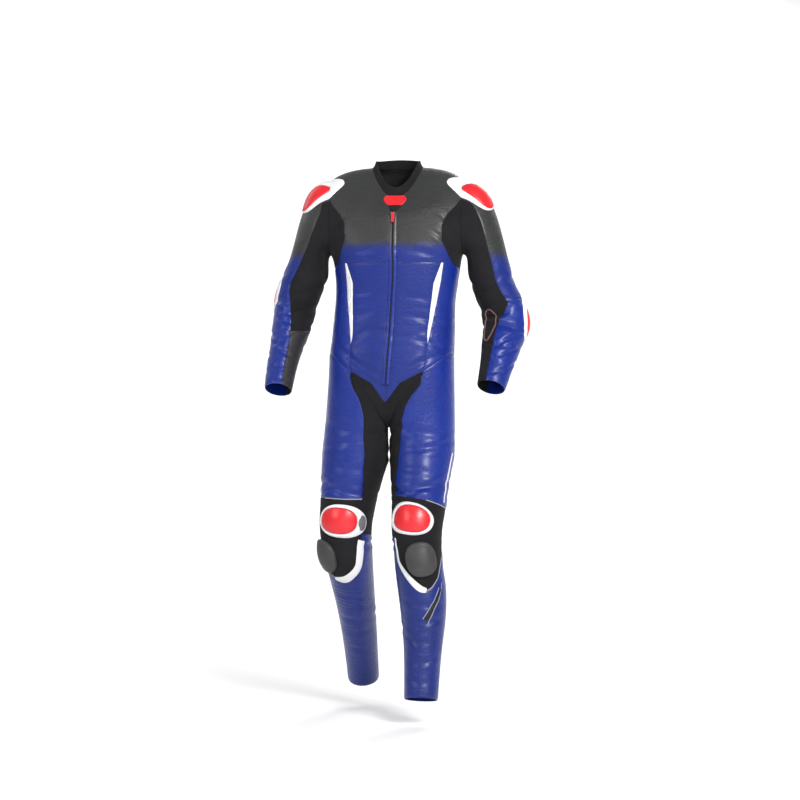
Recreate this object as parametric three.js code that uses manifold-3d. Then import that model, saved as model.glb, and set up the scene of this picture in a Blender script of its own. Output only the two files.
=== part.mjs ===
// A one-piece motorcycle race suit in its worn, hollow form, in millimetres.
// +Z is up and the front faces -Y. The origin is the middle of the shoulder line, where it is carried.
import * as THREE from "three";
import Module from "manifold-3d";

const wasm = await Module();
wasm.setup();

// Driving sizes
const WALL = 2.5;
const SEAM_INSET = 0.2;
const TRIM_LIFT = 0.3;
const ARMHOLE_REACH = 178;
const QUARTER_COLUMNS = 5;
const ROW_STEPS = { collar: 2, yoke: 4, armhole: 7, trunk: 7, seat: 8 };
const SNAP_SHARE = 0.2;
const TRIM_SNAP_SHARE = 0.04;
const LEVELLING_RINGS = 8;
const ROUNDING = 0.6;

function table(columns, rows) {
  const names = columns.split(" ");
  return rows.map((row) => Object.fromEntries(names.map((name, i) => [name, row[i]])));
}

// Rings of the trunk, from the collar's edge to the crotch. side is the height at the flank, frontDrop and
// backDrop how far the ring dips at its middle, power how sharply it dips, w the half width, f and b the
// depths, n the squareness, x the middle, and reach the half width that the leg openings leave.
const TRUNK = table("side frontDrop backDrop power w f b n x reach", [
  [30, 78, -8, 1.9, 60, 64, 54, 2.0, 3, 240],
  [12, 88, -4, 1.8, 69, 73, 64, 2.0, 3, 240],
  [8, 100, 8, 1.6, 98, 84, 80, 2.0, 2, 240],
  [-1, 109, 24, 1.4, 140, 95, 95, 2.1, 1, 240],
  [-22, 106, 38, 1.3, 178, 104, 108, 2.2, 0, 240],
  [-70, 88, 50, 1.3, 214, 111, 118, 2.3, 0, 240],
  [-120, 62, 46, 1.3, 224, 116, 123, 2.4, 0, 240],
  [-175, 34, 26, 1.3, 208, 120, 124, 2.4, 0, 240],
  [-225, 12, 8, 1.3, 178, 121, 122, 2.4, 0, 240],
  [-254, 0, 0, 1.3, 170, 120, 119, 2.4, 1, 240],
  [-300, 0, 0, 1.3, 164, 116, 114, 2.4, 0, 240],
  [-350, 0, 0, 1.3, 161, 109, 109, 2.4, -4, 240],
  [-400, 0, 0, 1.3, 163, 106, 112, 2.4, -7, 240],
  [-450, 0, 0, 1.3, 165, 108, 120, 2.4, -10, 240],
  [-495, 0, 0, 1.3, 168, 111, 128, 2.4, -14, 168],
  [-540, 0, 0, 1.3, 174, 112, 132, 2.4, -17, 110],
  [-580, 0, 0, 1.3, 179, 108, 130, 2.4, -20, 66],
  [-620, 0, 0, 1.3, 182, 99, 120, 2.4, -22, 38],
  [-655, 0, 0, 1.3, 184, 76, 92, 2.4, -22, 20],
  [-680, 0, 0, 1.3, 184, 40, 50, 2.4, -22, 7],
  [-690, 0, 0, 1.3, 184, 0, 0, 2.4, -22, 5],
]);
const ROW = { collarTop: 0, collarFoot: 1, shoulder: 4, armpit: 8, hip: 14, crotch: 20 };

// Sections across each limb: the middle, the half width to the side and the half depth to the front.
const RIGHT_ARM = table("x y z side front", [
  [-243, 8, -262, 57, 60],
  [-266, 16, -319, 58, 59],
  [-280, 18, -373, 56, 59],
  [-290, 0, -427, 51, 54],
  [-299, -26, -481, 43, 48],
  [-306, -52, -530, 40, 42],
  [-311, -82, -588, 37, 38],
]);
const LEFT_ARM = table("x y z side front", [
  [247, 8, -262, 57, 60],
  [263, 16, -320, 56, 59],
  [284, 20, -372, 60, 61],
  [291, 8, -420, 60, 58],
  [281, -22, -475, 52, 52],
  [271, -52, -525, 44, 45],
  [259, -85, -582, 38, 38],
]);
const RIGHT_LEG = table("x y z side front", [
  [-113, 0, -765, 91, 96],
  [-124, -6, -832, 82, 88],
  [-132, -12, -895, 75, 80],
  [-137, -18, -955, 71, 76],
  [-134, -8, -1015, 67, 73],
  [-128, 28, -1085, 60, 67],
  [-122, 74, -1165, 53, 62],
  [-118, 122, -1250, 48, 56],
  [-116, 162, -1325, 45, 48],
  [-115, 196, -1392, 43, 44],
]);
const LEFT_LEG = table("x y z side front", [
  [68, -12, -765, 88, 94],
  [66, -38, -832, 79, 86],
  [65, -62, -895, 73, 79],
  [62, -82, -955, 68, 74],
  [66, -94, -1015, 64, 70],
  [70, -98, -1065, 63, 70],
  [78, -100, -1125, 63, 71],
  [82, -108, -1195, 58, 66],
  [82, -126, -1270, 50, 56],
  [81, -144, -1340, 46, 48],
  [80, -160, -1400, 44, 45],
]);

// The seam between each limb's outer and inner cloth: its angle from the outer side at each height.
const SEAMS = {
  right_arm: table("z angle", [
    [-85, 42],
    [-125, 62],
    [-160, 74],
    [-200, 77],
    [-235, 70],
    [-300, 62],
    [-335, 72],
    [-368, 86],
    [-400, 98],
    [-470, 111],
    [-590, 114],
  ]),
  left_arm: table("z angle", [
    [-85, 42],
    [-122, 52],
    [-145, 57],
    [-180, 66],
    [-220, 72],
    [-300, 75],
    [-330, 70],
    [-352, 66],
    [-372, 80],
    [-400, 102],
    [-430, 107],
    [-590, 112],
  ]),
  right_leg: table("z angle", [
    [-540, 87],
    [-573, 90],
    [-592, 95],
    [-608, 101],
    [-629, 105],
    [-660, 109],
    [-722, 109],
    [-802, 117],
    [-880, 128],
  ]),
  left_leg: table("z angle", [
    [-540, 84],
    [-574, 86],
    [-604, 102],
    [-629, 112],
    [-669, 120],
    [-722, 125],
    [-772, 131],
    [-828, 140],
    [-880, 144],
  ]),
};

// The two limbs of each kind. out is the side that its outer seam faces, blend how many rings shape the
// passage from the opening to the first section, and steps how many follow it.
const LIMBS = [
  { name: "right_arm", kind: "arm", out: -1, sections: RIGHT_ARM, blend: 4, steps: 9, lean: 0.95 },
  { name: "left_arm", kind: "arm", out: 1, sections: LEFT_ARM, blend: 4, steps: 9, lean: 0.95 },
  { name: "right_leg", kind: "leg", out: -1, sections: RIGHT_LEG, blend: 4, steps: 15, lean: 0.6 },
  { name: "left_leg", kind: "leg", out: 1, sections: LEFT_LEG, blend: 4, steps: 15, lean: 0.6 },
];

// The largest folds: how deep a trough lies across a limb, at what height and angle, and how far it reaches.
const FOLDS = table("limb z angle depth height spread", [
  ["right_arm", -352, 150, 5, 13, 60],
  ["right_arm", -395, 120, 4, 12, 55],
  ["left_arm", -350, 140, 5, 13, 60],
  ["left_arm", -402, 110, 5, 13, 55],
  ["left_arm", -445, 80, 4, 12, 60],
  ["right_leg", -868, 90, 5, 15, 55],
  ["left_leg", -872, 85, 5, 15, 55],
  ["right_leg", -1000, 270, 7, 16, 60],
  ["left_leg", -1010, 270, 7, 16, 60],
  ["right_leg", -700, 75, 5, 16, 40],
  ["left_leg", -690, 75, 5, 16, 40],
]);

// A table's row at a fractional index, every column on one smooth curve.
function rowAt(rows, at) {
  const last = rows.length - 1;
  const i = Math.min(Math.floor(at), last - 1);
  const t = at - i;
  const [a, b, c, d] = [i - 1, i, i + 1, i + 2].map((k) => rows[Math.min(Math.max(k, 0), last)]);
  const out = {};
  for (const key of Object.keys(b)) {
    const lead = (c[key] - a[key]) / 2;
    const trail = (d[key] - b[key]) / 2;
    const gap = c[key] - b[key];
    out[key] = b[key] + t * (lead + t * (3 * gap - 2 * lead - trail + t * (lead + trail - 2 * gap)));
  }
  return out;
}

// The value of a column where another column, which falls or rises all the way, has the value at.
function valueWhere(rows, key, column, at) {
  const rising = rows[rows.length - 1][key] > rows[0][key];
  for (let i = 0; i < rows.length - 1; i += 1) {
    const from = rows[i][key];
    const to = rows[i + 1][key];
    const inside = rising ? at <= to : at >= to;
    if (inside || i === rows.length - 2) {
      const share = Math.min(Math.max((at - from) / (to - from), 0), 1);
      return rows[i][column] + share * (rows[i + 1][column] - rows[i][column]);
    }
  }
  return rows[0][column];
}

const middleAt = (z) => valueWhere(TRUNK, "side", "x", z);
const degrees = (turn) => (turn * 180) / Math.PI;
const radians = (angle) => (angle * Math.PI) / 180;
const easeDown = (t) => Math.exp(-t * t);

// The sheet that every panel is cut from. A point holds its position, its normal, and on a limb the cosine
// and sine of its angle from the outer side; seam marks one that no later line may move.
const points = [];
let faces = [];
let rounding = ROUNDING;

function addPoint(position, round = null, seam = false) {
  points.push({ position, normal: new THREE.Vector3(), round, seam });
  return points.length - 1;
}

function addQuad(a, b, c, d, facing, tags) {
  const apart = (i, j) => points[i].position.distanceTo(points[j].position);
  const split = apart(a, c) < apart(b, d);
  const halves = split ? [[a, b, c], [a, c, d]] : [[a, b, d], [b, c, d]];
  for (const corners of halves) {
    if (new Set(corners).size < 3) continue;
    if (facing < 0) corners.reverse();
    faces.push({ corners, piece: "", trims: [], ...tags });
  }
}

function trunkPoint(at, share, facing) {
  const row = rowAt(TRUNK, at);
  const sleeved = at > ROW.shoulder && at < ROW.armpit;
  const open = at > ROW.hip ? row.reach : row.w;
  const reach = sleeved ? ARMHOLE_REACH : open;
  const limit = Math.asin(Math.pow(Math.min(reach / row.w, 1), row.n / 2));
  const angle = Math.sign(share) * limit * Math.pow(Math.abs(share), row.n / 2);
  const across = Math.sign(angle) * Math.pow(Math.abs(Math.sin(angle)), 2 / row.n);
  const bulge = Math.pow(Math.max(Math.cos(angle), 0), 2 / row.n);
  const dip = Math.pow(Math.max(Math.cos(angle), 0), row.power);
  const depth = facing < 0 ? row.f : row.b;
  const drop = facing < 0 ? row.frontDrop : row.backDrop;
  return new THREE.Vector3(row.x + row.w * across, facing * depth * bulge, row.side - drop * dip);
}

// Row places down the trunk: even steps, but closer together towards both ends of each opening.
function trunkRows() {
  const rows = [];
  const stretch = (from, to, steps, ease) => {
    for (let i = rows.length ? 1 : 0; i <= steps; i += 1) rows.push(from + (to - from) * ease(i / steps));
  };
  const even = (t) => t;
  stretch(ROW.collarTop, ROW.collarFoot, ROW_STEPS.collar, even);
  stretch(ROW.collarFoot, ROW.shoulder, ROW_STEPS.yoke, even);
  const closing = (t) => (1 - Math.cos(Math.PI * t)) / 2;
  stretch(ROW.shoulder, ROW.armpit, ROW_STEPS.armhole, closing);
  stretch(ROW.armpit, ROW.hip, ROW_STEPS.trunk, even);
  stretch(ROW.hip, ROW.crotch, ROW_STEPS.seat, closing);
  return rows;
}

// The trunk's front and back grids, which share their points wherever no armhole or leg opening parts them.
function layTrunk() {
  const rows = trunkRows();
  const columns = 2 * QUARTER_COLUMNS;
  const grid = rows.map((at) => {
    const parted = (at > ROW.shoulder && at < ROW.armpit) || (at > ROW.hip && at < ROW.crotch);
    const rim = at === ROW.collarTop || at === ROW.collarFoot;
    const lay = (facing, j) => addPoint(trunkPoint(at, j / QUARTER_COLUMNS - 1, facing), null, rim);
    const front = Array.from({ length: columns + 1 }, (_, j) => lay(-1, j));
    const back = front.map((point, j) => {
      const shared = at === ROW.crotch || (!parted && (j === 0 || j === columns));
      return shared ? point : lay(1, j);
    });
    return { at, front, back };
  });
  for (let i = 0; i + 1 < grid.length; i += 1) {
    const collar = grid[i + 1].at <= ROW.collarFoot;
    for (const [area, facing] of [["front", -1], ["back", 1]]) {
      const upper = grid[i][area];
      const lower = grid[i + 1][area];
      for (let j = 0; j < columns; j += 1) {
        const piece = collar ? "collar" : area;
        addQuad(upper[j], upper[j + 1], lower[j + 1], lower[j], facing, { area, piece });
      }
    }
  }
  return grid;
}

// The loop of trunk points round an opening: its top, down the front, its lowest point and up the back.
function openingLoop(grid, limb) {
  const [from, to] = limb.kind === "arm" ? [ROW.shoulder, ROW.armpit] : [ROW.hip, ROW.crotch];
  const rows = grid.filter((row) => row.at >= from && row.at <= to);
  const column = limb.out < 0 ? 0 : 2 * QUARTER_COLUMNS;
  const down = rows.map((row) => row.front[column]);
  const up = rows.slice(1, -1).reverse().map((row) => row.back[column]);
  return [...down, ...up];
}

function limbFrame(limb, at) {
  const last = limb.sections.length - 1;
  const row = rowAt(limb.sections, at);
  const middle = (r) => new THREE.Vector3(r.x, r.y, r.z);
  const ahead = middle(rowAt(limb.sections, Math.min(at + 0.05, last)));
  const behind = middle(rowAt(limb.sections, Math.max(at - 0.05, 0)));
  const along = ahead.sub(behind).normalize();
  const outward = new THREE.Vector3(limb.out, 0, 0);
  outward.addScaledVector(along, -outward.dot(along)).normalize();
  const forward = new THREE.Vector3(0, -1, 0);
  forward.addScaledVector(along, -forward.dot(along));
  forward.addScaledVector(outward, -forward.dot(outward)).normalize();
  return { row, centre: middle(row), along, outward, forward };
}

// A fold is a soft trough along the line of the cloth, deepest at its own height and angle.
function foldDepth(name, z, angle) {
  return FOLDS.filter((fold) => fold.limb === name).reduce((sum, fold) => {
    const turn = degrees(Math.acos(Math.cos(radians(angle - fold.angle))));
    return sum + fold.depth * easeDown((z - fold.z) / fold.height) * easeDown(turn / fold.spread);
  }, 0);
}

function limbPoint(limb, at, angle) {
  const { row, centre, outward, forward } = limbFrame(limb, at);
  const fold = foldDepth(limb.name, row.z, angle);
  return centre
    .addScaledVector(outward, (row.side - fold) * Math.cos(radians(angle)))
    .addScaledVector(forward, (row.front - fold) * Math.sin(radians(angle)));
}

// The angle of a point round a leg's first section, seen from above and taken from its outer side.
function angleAround({ row, centre }, out, position) {
  const aside = (position.x - centre.x) * out;
  const ahead = centre.y - position.y;
  return (degrees(Math.atan2(ahead / row.front, aside / row.side)) + 360) % 360;
}

// A limb starts at its opening's own points, bends into its first section and follows the sections down. The
// columns of a leg start where the opening has them and even out over the first sections.
function layLimb(grid, limb) {
  const loop = openingLoop(grid, limb);
  const start = limbFrame(limb, 0);
  const even = loop.map((_, k) => (360 * k) / loop.length);
  const first = even.map((angle, k) => {
    if (limb.kind === "arm" || k === 0) return angle;
    const turn = angleAround(start, limb.out, points[loop[k]].position) - angle;
    return angle + ((turn + 540) % 360) - 180;
  });
  const anglesAt = (ring) => {
    const share = THREE.MathUtils.smoothstep(ring / LEVELLING_RINGS, 0, 1);
    return first.map((angle, k) => angle + (even[k] - angle) * share);
  };
  const roundOf = (angle) => [Math.cos(radians(angle)), Math.sin(radians(angle))];
  loop.forEach((point, k) => Object.assign(points[point], { round: roundOf(first[k]), seam: true }));
  const rings = [loop];
  for (let i = 1; i <= limb.blend; i += 1) {
    const t = i / limb.blend;
    rings.push(loop.map((point, k) => {
      const from = points[point].position;
      const to = limbPoint(limb, 0, first[k]);
      const span = from.distanceTo(to) * limb.lean;
      const leave = limb.kind === "arm" ? new THREE.Vector3(limb.out, 0, 0) : new THREE.Vector3(0, 0, -1);
      const bend = new THREE.Vector3()
        .addScaledVector(from, 2 * t ** 3 - 3 * t ** 2 + 1)
        .addScaledVector(leave, (t ** 3 - 2 * t ** 2 + t) * span)
        .addScaledVector(to, 3 * t ** 2 - 2 * t ** 3)
        .addScaledVector(start.along, (t ** 3 - t ** 2) * span);
      return addPoint(bend, roundOf(first[k]));
    }));
  }
  const last = limb.sections.length - 1;
  for (let i = 1; i <= limb.steps; i += 1) {
    const at = (last * i) / limb.steps;
    const rim = i === limb.steps;
    rings.push(anglesAt(i).map((angle) => addPoint(limbPoint(limb, at, angle), roundOf(angle), rim)));
  }
  for (let i = 0; i + 1 < rings.length; i += 1) {
    for (let k = 0; k < loop.length; k += 1) {
      const next = (k + 1) % loop.length;
      const tags = { area: limb.name, piece: limb.name };
      addQuad(rings[i][k], rings[i][next], rings[i + 1][next], rings[i + 1][k], limb.out, tags);
    }
  }
}

function setNormals() {
  for (const { corners } of faces) {
    const [a, b, c] = corners.map((k) => points[k].position);
    const along = new THREE.Vector3().subVectors(b, a);
    const normal = along.cross(new THREE.Vector3().subVectors(c, a)).normalize();
    for (let i = 0; i < 3; i += 1) {
      const here = points[corners[i]].position;
      const left = new THREE.Vector3().subVectors(points[corners[(i + 1) % 3]].position, here);
      const right = new THREE.Vector3().subVectors(points[corners[(i + 2) % 3]].position, here);
      points[corners[i]].normal.addScaledVector(normal, left.angleTo(right));
    }
  }
  for (const point of points) point.normal.normalize();
}

const edgeKey = (a, b) => (a < b ? `${a}_${b}` : `${b}_${a}`);
const edgesOf = ({ corners: [a, b, c] }) => [[a, b], [b, c], [c, a]];

// A point part of the way along an edge, lifted a little so that the sheet stays round.
function between(a, b, t) {
  const [from, to] = [points[a], points[b]];
  const position = from.position.clone().lerp(to.position, t);
  const lift = (end) => end.normal.clone().multiplyScalar(end.position.clone().sub(position).dot(end.normal));
  const round = from.round && to.round ? from.round.map((v, i) => v + t * (to.round[i] - v)) : null;
  return {
    position: position
      .addScaledVector(lift(from), rounding * (1 - t))
      .addScaledVector(lift(to), rounding * t),
    normal: from.normal.clone().lerp(to.normal, t).normalize(),
    round,
    seam: false,
  };
}

// Faces with one, two or three divided edges give way to two, three or four smaller ones.
function divideFaces(divided) {
  const made = [];
  for (const face of faces) {
    const middles = edgesOf(face).map(([a, b]) => divided.get(edgeKey(a, b)));
    const count = middles.filter((point) => point !== undefined).length;
    if (!count) {
      made.push(face);
      continue;
    }
    const turn = middles.findIndex((m) => (m !== undefined) === (count === 1));
    const shift = count === 3 ? 0 : turn;
    const [a, b, c] = [0, 1, 2].map((i) => face.corners[(i + shift) % 3]);
    const [ab, bc, ca] = [0, 1, 2].map((i) => middles[(i + shift) % 3]);
    let parts = [[a, ab, ca], [ab, b, bc], [ca, bc, c], [ab, bc, ca]];
    if (count === 1) parts = [[a, ab, c], [ab, b, c]];
    if (count === 2) {
      const span = (p, q) => points[p].position.distanceTo(points[q].position);
      const rest = span(a, bc) < span(b, ca) ? [[a, b, bc], [a, bc, ca]] : [[a, b, ca], [b, bc, ca]];
      parts = [[bc, c, ca], ...rest];
    }
    for (const corners of parts) made.push({ ...face, corners, trims: [...face.trims] });
  }
  faces = made;
}

function refine(chosen) {
  const divided = new Map();
  for (const [a, b] of faces.filter(chosen).flatMap(edgesOf)) {
    const key = edgeKey(a, b);
    if (divided.has(key)) continue;
    const middle = between(a, b, 0.5);
    middle.seam = points[a].seam && points[b].seam;
    points.push(middle);
    divided.set(key, points.length - 1);
  }
  divideFaces(divided);
}

const centreOf = (face) => {
  const [a, b, c] = face.corners.map((k) => points[k]);
  const position = a.position.clone().add(b.position).add(c.position).divideScalar(3);
  const ringed = a.round && b.round && c.round;
  const round = ringed ? a.round.map((v, i) => (v + b.round[i] + c.round[i]) / 3) : null;
  const normal = a.normal.clone().add(b.normal).add(c.normal).normalize();
  return { position, round, normal };
};

// Cuts the chosen faces along the line where level is nought. A free point close to the line moves onto it,
// and one that an earlier seam holds counts as lying on it.
function cutAlong(chosen, level) {
  const value = new Map();
  const edges = new Map();
  for (const face of faces.filter(chosen)) {
    for (const corner of face.corners) {
      if (!value.has(corner)) value.set(corner, level(points[corner]));
    }
    for (const [a, b] of edgesOf(face)) edges.set(edgeKey(a, b), [a, b]);
  }
  const crossing = ([a, b]) => value.get(a) * value.get(b) < 0;
  const root = ([a, b]) => {
    let [low, high] = [0, 1];
    const sign = Math.sign(value.get(a));
    for (let i = 0; i < 18; i += 1) {
      const middle = (low + high) / 2;
      if (Math.sign(level(between(a, b, middle))) === sign) low = middle;
      else high = middle;
    }
    return (low + high) / 2;
  };
  const near = new Map();
  const snap = rounding > 0 ? SNAP_SHARE : TRIM_SNAP_SHARE;
  for (const edge of [...edges.values()].filter(crossing)) {
    const t = root(edge);
    const [end, share] = t < 0.5 ? [edge[0], t] : [edge[1], 1 - t];
    const known = near.get(end);
    if (share < snap && (!known || share < known.share)) near.set(end, { share, place: between(...edge, t) });
  }
  for (const [corner, { place }] of near) {
    value.set(corner, 0);
    if (!points[corner].seam && rounding > 0) points[corner] = place;
    points[corner].seam = true;
  }
  const divided = new Map();
  for (const [key, edge] of edges) {
    if (!crossing(edge)) continue;
    const cut = between(...edge, root(edge));
    cut.seam = true;
    points.push(cut);
    divided.set(key, points.length - 1);
  }
  divideFaces(divided);
}

// Cuts a piece in two along a line: the part where level is above nought takes the new name.
function part(piece, name, level, also = () => true) {
  const chosen = (face) => face.piece === piece && also(centreOf(face));
  cutAlong(chosen, level);
  for (const face of faces) {
    if (chosen(face) && level(centreOf(face)) > 0) face.piece = name;
  }
}

// Marks what lies on the panels: the sheet is made finer near the outline and cut along it, and only the
// largest stretch keeps the mark.
function mark(trim, chosen, level, finer, margin) {
  const highest = (face) => Math.max(level(centreOf(face)), ...face.corners.map((k) => level(points[k])));
  const near = (face) => chosen(face) && highest(face) > -margin;
  for (let i = 0; i < finer; i += 1) refine(near);
  cutAlong(near, level);
  const marked = faces.filter((face) => chosen(face) && level(centreOf(face)) > 0);
  const [largest] = islandsOf(marked);
  for (const face of largest) face.trims.push(trim);
}

// Groups of faces that share edges, the largest first.
function islandsOf(chosen) {
  const beside = new Map();
  for (const face of chosen) {
    for (const [a, b] of edgesOf(face)) {
      const key = edgeKey(a, b);
      beside.set(key, [...(beside.get(key) || []), face]);
    }
  }
  const seen = new Set();
  const groups = [];
  for (const face of chosen) {
    if (seen.has(face)) continue;
    seen.add(face);
    const group = [face];
    for (const here of group) {
      for (const next of edgesOf(here).flatMap(([a, b]) => beside.get(edgeKey(a, b)))) {
        if (seen.has(next)) continue;
        seen.add(next);
        group.push(next);
      }
    }
    groups.push(group);
  }
  return groups.sort((one, other) => other.length - one.length);
}

// Islands that a cut leaves behind go to the piece beside them.
function joinIslands() {
  const beside = new Map();
  for (const face of faces) {
    for (const [a, b] of edgesOf(face)) {
      const key = edgeKey(a, b);
      beside.set(key, [...(beside.get(key) || []), face]);
    }
  }
  for (const piece of new Set(faces.map((face) => face.piece))) {
    for (const island of islandsOf(faces.filter((face) => face.piece === piece)).slice(1)) {
      const around = island.flatMap(edgesOf).flatMap(([a, b]) => beside.get(edgeKey(a, b)));
      const next = around.find((face) => face.piece !== piece);
      if (next) for (const face of island) face.piece = next.piece;
    }
  }
}

// A closed wall over the chosen faces, from inner to outer, both measured out from the sheet. Its edge is
// drawn in a little, which leaves the seam's gap to its neighbour.
function wallOf(chosen, outer, inner) {
  const owner = new Map();
  const find = (key) => {
    while (owner.get(key) !== key) key = owner.get(key);
    return key;
  };
  const corner = (i, k) => `${i}:${k}`;
  chosen.forEach((face, i) => face.corners.forEach((k) => owner.set(corner(i, k), corner(i, k))));
  const sides = new Map();
  chosen.forEach((face, i) => {
    for (const [a, b] of edgesOf(face)) {
      const key = edgeKey(a, b);
      if (sides.has(key)) {
        const j = sides.get(key).face;
        for (const k of [a, b]) owner.set(find(corner(i, k)), find(corner(j, k)));
        sides.get(key).open = false;
      } else sides.set(key, { a, b, face: i, open: true });
    }
  });
  const fans = new Map();
  chosen.forEach((face, i) => face.corners.forEach((k) => {
    const root = find(corner(i, k));
    if (!fans.has(root)) fans.set(root, { index: fans.size, point: points[k], pull: new THREE.Vector3() });
  }));
  const fan = (i, k) => fans.get(find(corner(i, k)));
  const rim = [...sides.values()].filter((side) => side.open);
  for (const { a, b, face } of rim) {
    const [p, q, r] = chosen[face].corners.map((k) => points[k].position);
    const flat = new THREE.Vector3().subVectors(q, p).cross(new THREE.Vector3().subVectors(r, p)).normalize();
    const along = new THREE.Vector3().subVectors(points[b].position, points[a].position).normalize();
    const inward = flat.cross(along);
    for (const k of [a, b]) fan(face, k).pull.add(inward);
  }
  const list = [...fans.values()];
  const place = (offset) => list.map(({ point, pull }) => {
    const length = pull.length();
    const share = SEAM_INSET / length / Math.max(length / 2, 0.5);
    const step = length > 1e-6 ? pull.clone().multiplyScalar(share) : pull;
    return point.position.clone().add(step).addScaledVector(point.normal, offset(point));
  });
  const corners = [...place(outer), ...place(inner)];
  const under = list.length;
  const index = [];
  chosen.forEach((face, i) => {
    const [a, b, c] = face.corners.map((k) => fan(i, k).index);
    index.push(a, b, c, c + under, b + under, a + under);
  });
  for (const { a, b, face } of rim) {
    const [from, to] = [fan(face, a).index, fan(face, b).index];
    index.push(to, from, from + under, to, from + under, to + under);
  }
  const geometry = new THREE.BufferGeometry().setFromPoints(corners);
  return geometry.setIndex(index);
}

const across = ({ position }) => position.x - middleAt(position.z);
const height = ({ position }) => position.z;
const angleOf = ({ round }) => (degrees(Math.atan2(round[1], round[0])) + 360) % 360;

// Lines across the trunk's front: half widths from its middle at each height.
const CHEST_SEAM = -252;
const SEAT_SEAM = -400;
const CROTCH_SEAM = -652;
const ZIP_HALF = 9;
const ZIP_FOOT = -578;
const LEG_CORNER = 97;
const UNDERARM_LINE = table("z x", [
  [-70, 184],
  [-100, 163],
  [-123, 142],
  [-151, 130],
  [-192, 130],
  [-220, 141],
  [-253, 156],
  [-275, 182],
]);
const FLANK_LINE = table("z x", [[-252, 132], [-350, 120], [-466, 103], [-560, 98]]);
const STRIPE_WIDTH = table("z x", [
  [-252, 5],
  [-306, 17],
  [-350, 14],
  [-440, 7],
  [-466, 0],
  [-480, -4],
]);
const POINTED_SEAM = table("x z", [
  [0, -622],
  [8, -614],
  [19, -598],
  [38, -571],
  [67, -556],
  [97, -540],
  [119, -525],
  [143, -504],
  [180, -480],
]);

function cutTrunk() {
  const half = (p) => Math.abs(across(p));
  const line = (rows, p) => valueWhere(rows, "z", "x", height(p));
  part("front", "chest", (p) => height(p) - CHEST_SEAM);
  for (const piece of ["chest", "front"]) part(piece, "underarm", (p) => half(p) - line(UNDERARM_LINE, p));
  const zip = (p) => Math.min(ZIP_HALF - half(p), height(p) - ZIP_FOOT);
  for (const piece of ["chest", "front"]) part(piece, "main_zip", zip);
  part("front", "flank", (p) => half(p) - line(FLANK_LINE, p));
  part("front", "stripe", (p) => half(p) - line(FLANK_LINE, p) + line(STRIPE_WIDTH, p));
  for (const piece of ["front", "flank"]) {
    part(piece, "gusset", (p) => valueWhere(POINTED_SEAM, "x", "z", half(p)) - height(p));
  }
  part("gusset", "thigh_front_left", (p) => across(p) - LEG_CORNER);
  part("gusset", "thigh_front_right", (p) => -across(p) - LEG_CORNER);
  part("back", "seat", (p) => SEAT_SEAM - height(p));
  part("seat", "gusset", (p) => CROTCH_SEAM - height(p));
  for (const face of faces) {
    const paired = ["chest", "front", "stripe", "flank", "underarm"].includes(face.piece);
    if (paired) face.piece += across(centreOf(face)) < 0 ? "_right" : "_left";
  }
}

const ELBOW_SEAM = -345;
const FOREARM_SEAM = -430;
// The upper and lower edges of each knee panel: the height at each angle from the outer side.
const KNEE_TOP_SEAM = {
  right_leg: table("angle z", [[0, -877], [90, -881], [130, -882], [270, -880], [360, -877]]),
  left_leg: table("angle z", [
    [0, -905],
    [14, -902],
    [70, -879],
    [102, -871],
    [140, -868],
    [215, -874],
    [290, -890],
    [360, -905],
  ]),
};
const KNEE_FOOT_SEAM = {
  right_leg: table("angle z", [
    [0, -1032],
    [16, -1046],
    [37, -1078],
    [52, -1092],
    [66, -1101],
    [84, -1101],
    [107, -1087],
    [124, -1064],
    [130, -1036],
    [133, -1003],
    [136, -974],
    [215, -985],
    [270, -1080],
    [330, -1060],
    [360, -1032],
  ]),
  left_leg: table("angle z", [
    [0, -1020],
    [15, -1038],
    [37, -1083],
    [60, -1108],
    [76, -1117],
    [89, -1110],
    [107, -1089],
    [125, -1064],
    [140, -1037],
    [144, -1006],
    [147, -976],
    [215, -985],
    [270, -1090],
    [330, -1060],
    [360, -1020],
  ]),
};
const OUTER_SEAM_ANGLE = 12;
const KNEE_HALF_ANGLE = 125;
const SHIN_HALF_ANGLE = 104;

function cutLimb(limb) {
  const side = limb.name.split("_")[0];
  const seam = (p) => valueWhere(SEAMS[limb.name], "z", "angle", height(p));
  const under = (lines) => (p) => valueWhere(lines[limb.name], "angle", "z", angleOf(p)) - height(p);
  const inner = (p) => Math.cos(radians(seam(p))) - p.round[0];
  const behind = (halfAngle) => (p) => Math.cos(radians(halfAngle)) - p.round[1];
  if (limb.kind === "arm") {
    part(limb.name, `inner_sleeve_${side}`, inner);
    part(limb.name, `sleeve_lower_${side}`, (p) => ELBOW_SEAM - height(p));
    part(`inner_sleeve_${side}`, `inner_forearm_${side}`, (p) => FOREARM_SEAM - height(p));
    for (const face of faces) if (face.piece === limb.name) face.piece = `sleeve_upper_${side}`;
    return;
  }
  const turn = radians(OUTER_SEAM_ANGLE);
  part(limb.name, `inner_leg_${side}`, inner);
  part(limb.name, `thigh_back_${side}`, (p) => -p.round[1] * Math.cos(turn) - p.round[0] * Math.sin(turn));
  for (const piece of [limb.name, `inner_leg_${side}`, `thigh_back_${side}`]) {
    part(piece, `knee_panel_${side}`, under(KNEE_TOP_SEAM));
  }
  part(`knee_panel_${side}`, `shin_${side}`, under(KNEE_FOOT_SEAM));
  part(`knee_panel_${side}`, `knee_back_${side}`, behind(KNEE_HALF_ANGLE));
  part(`shin_${side}`, `calf_${side}`, behind(SHIN_HALF_ANGLE));
  for (const face of faces) if (face.piece === limb.name) face.piece = `thigh_front_${side}`;
}

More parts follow.
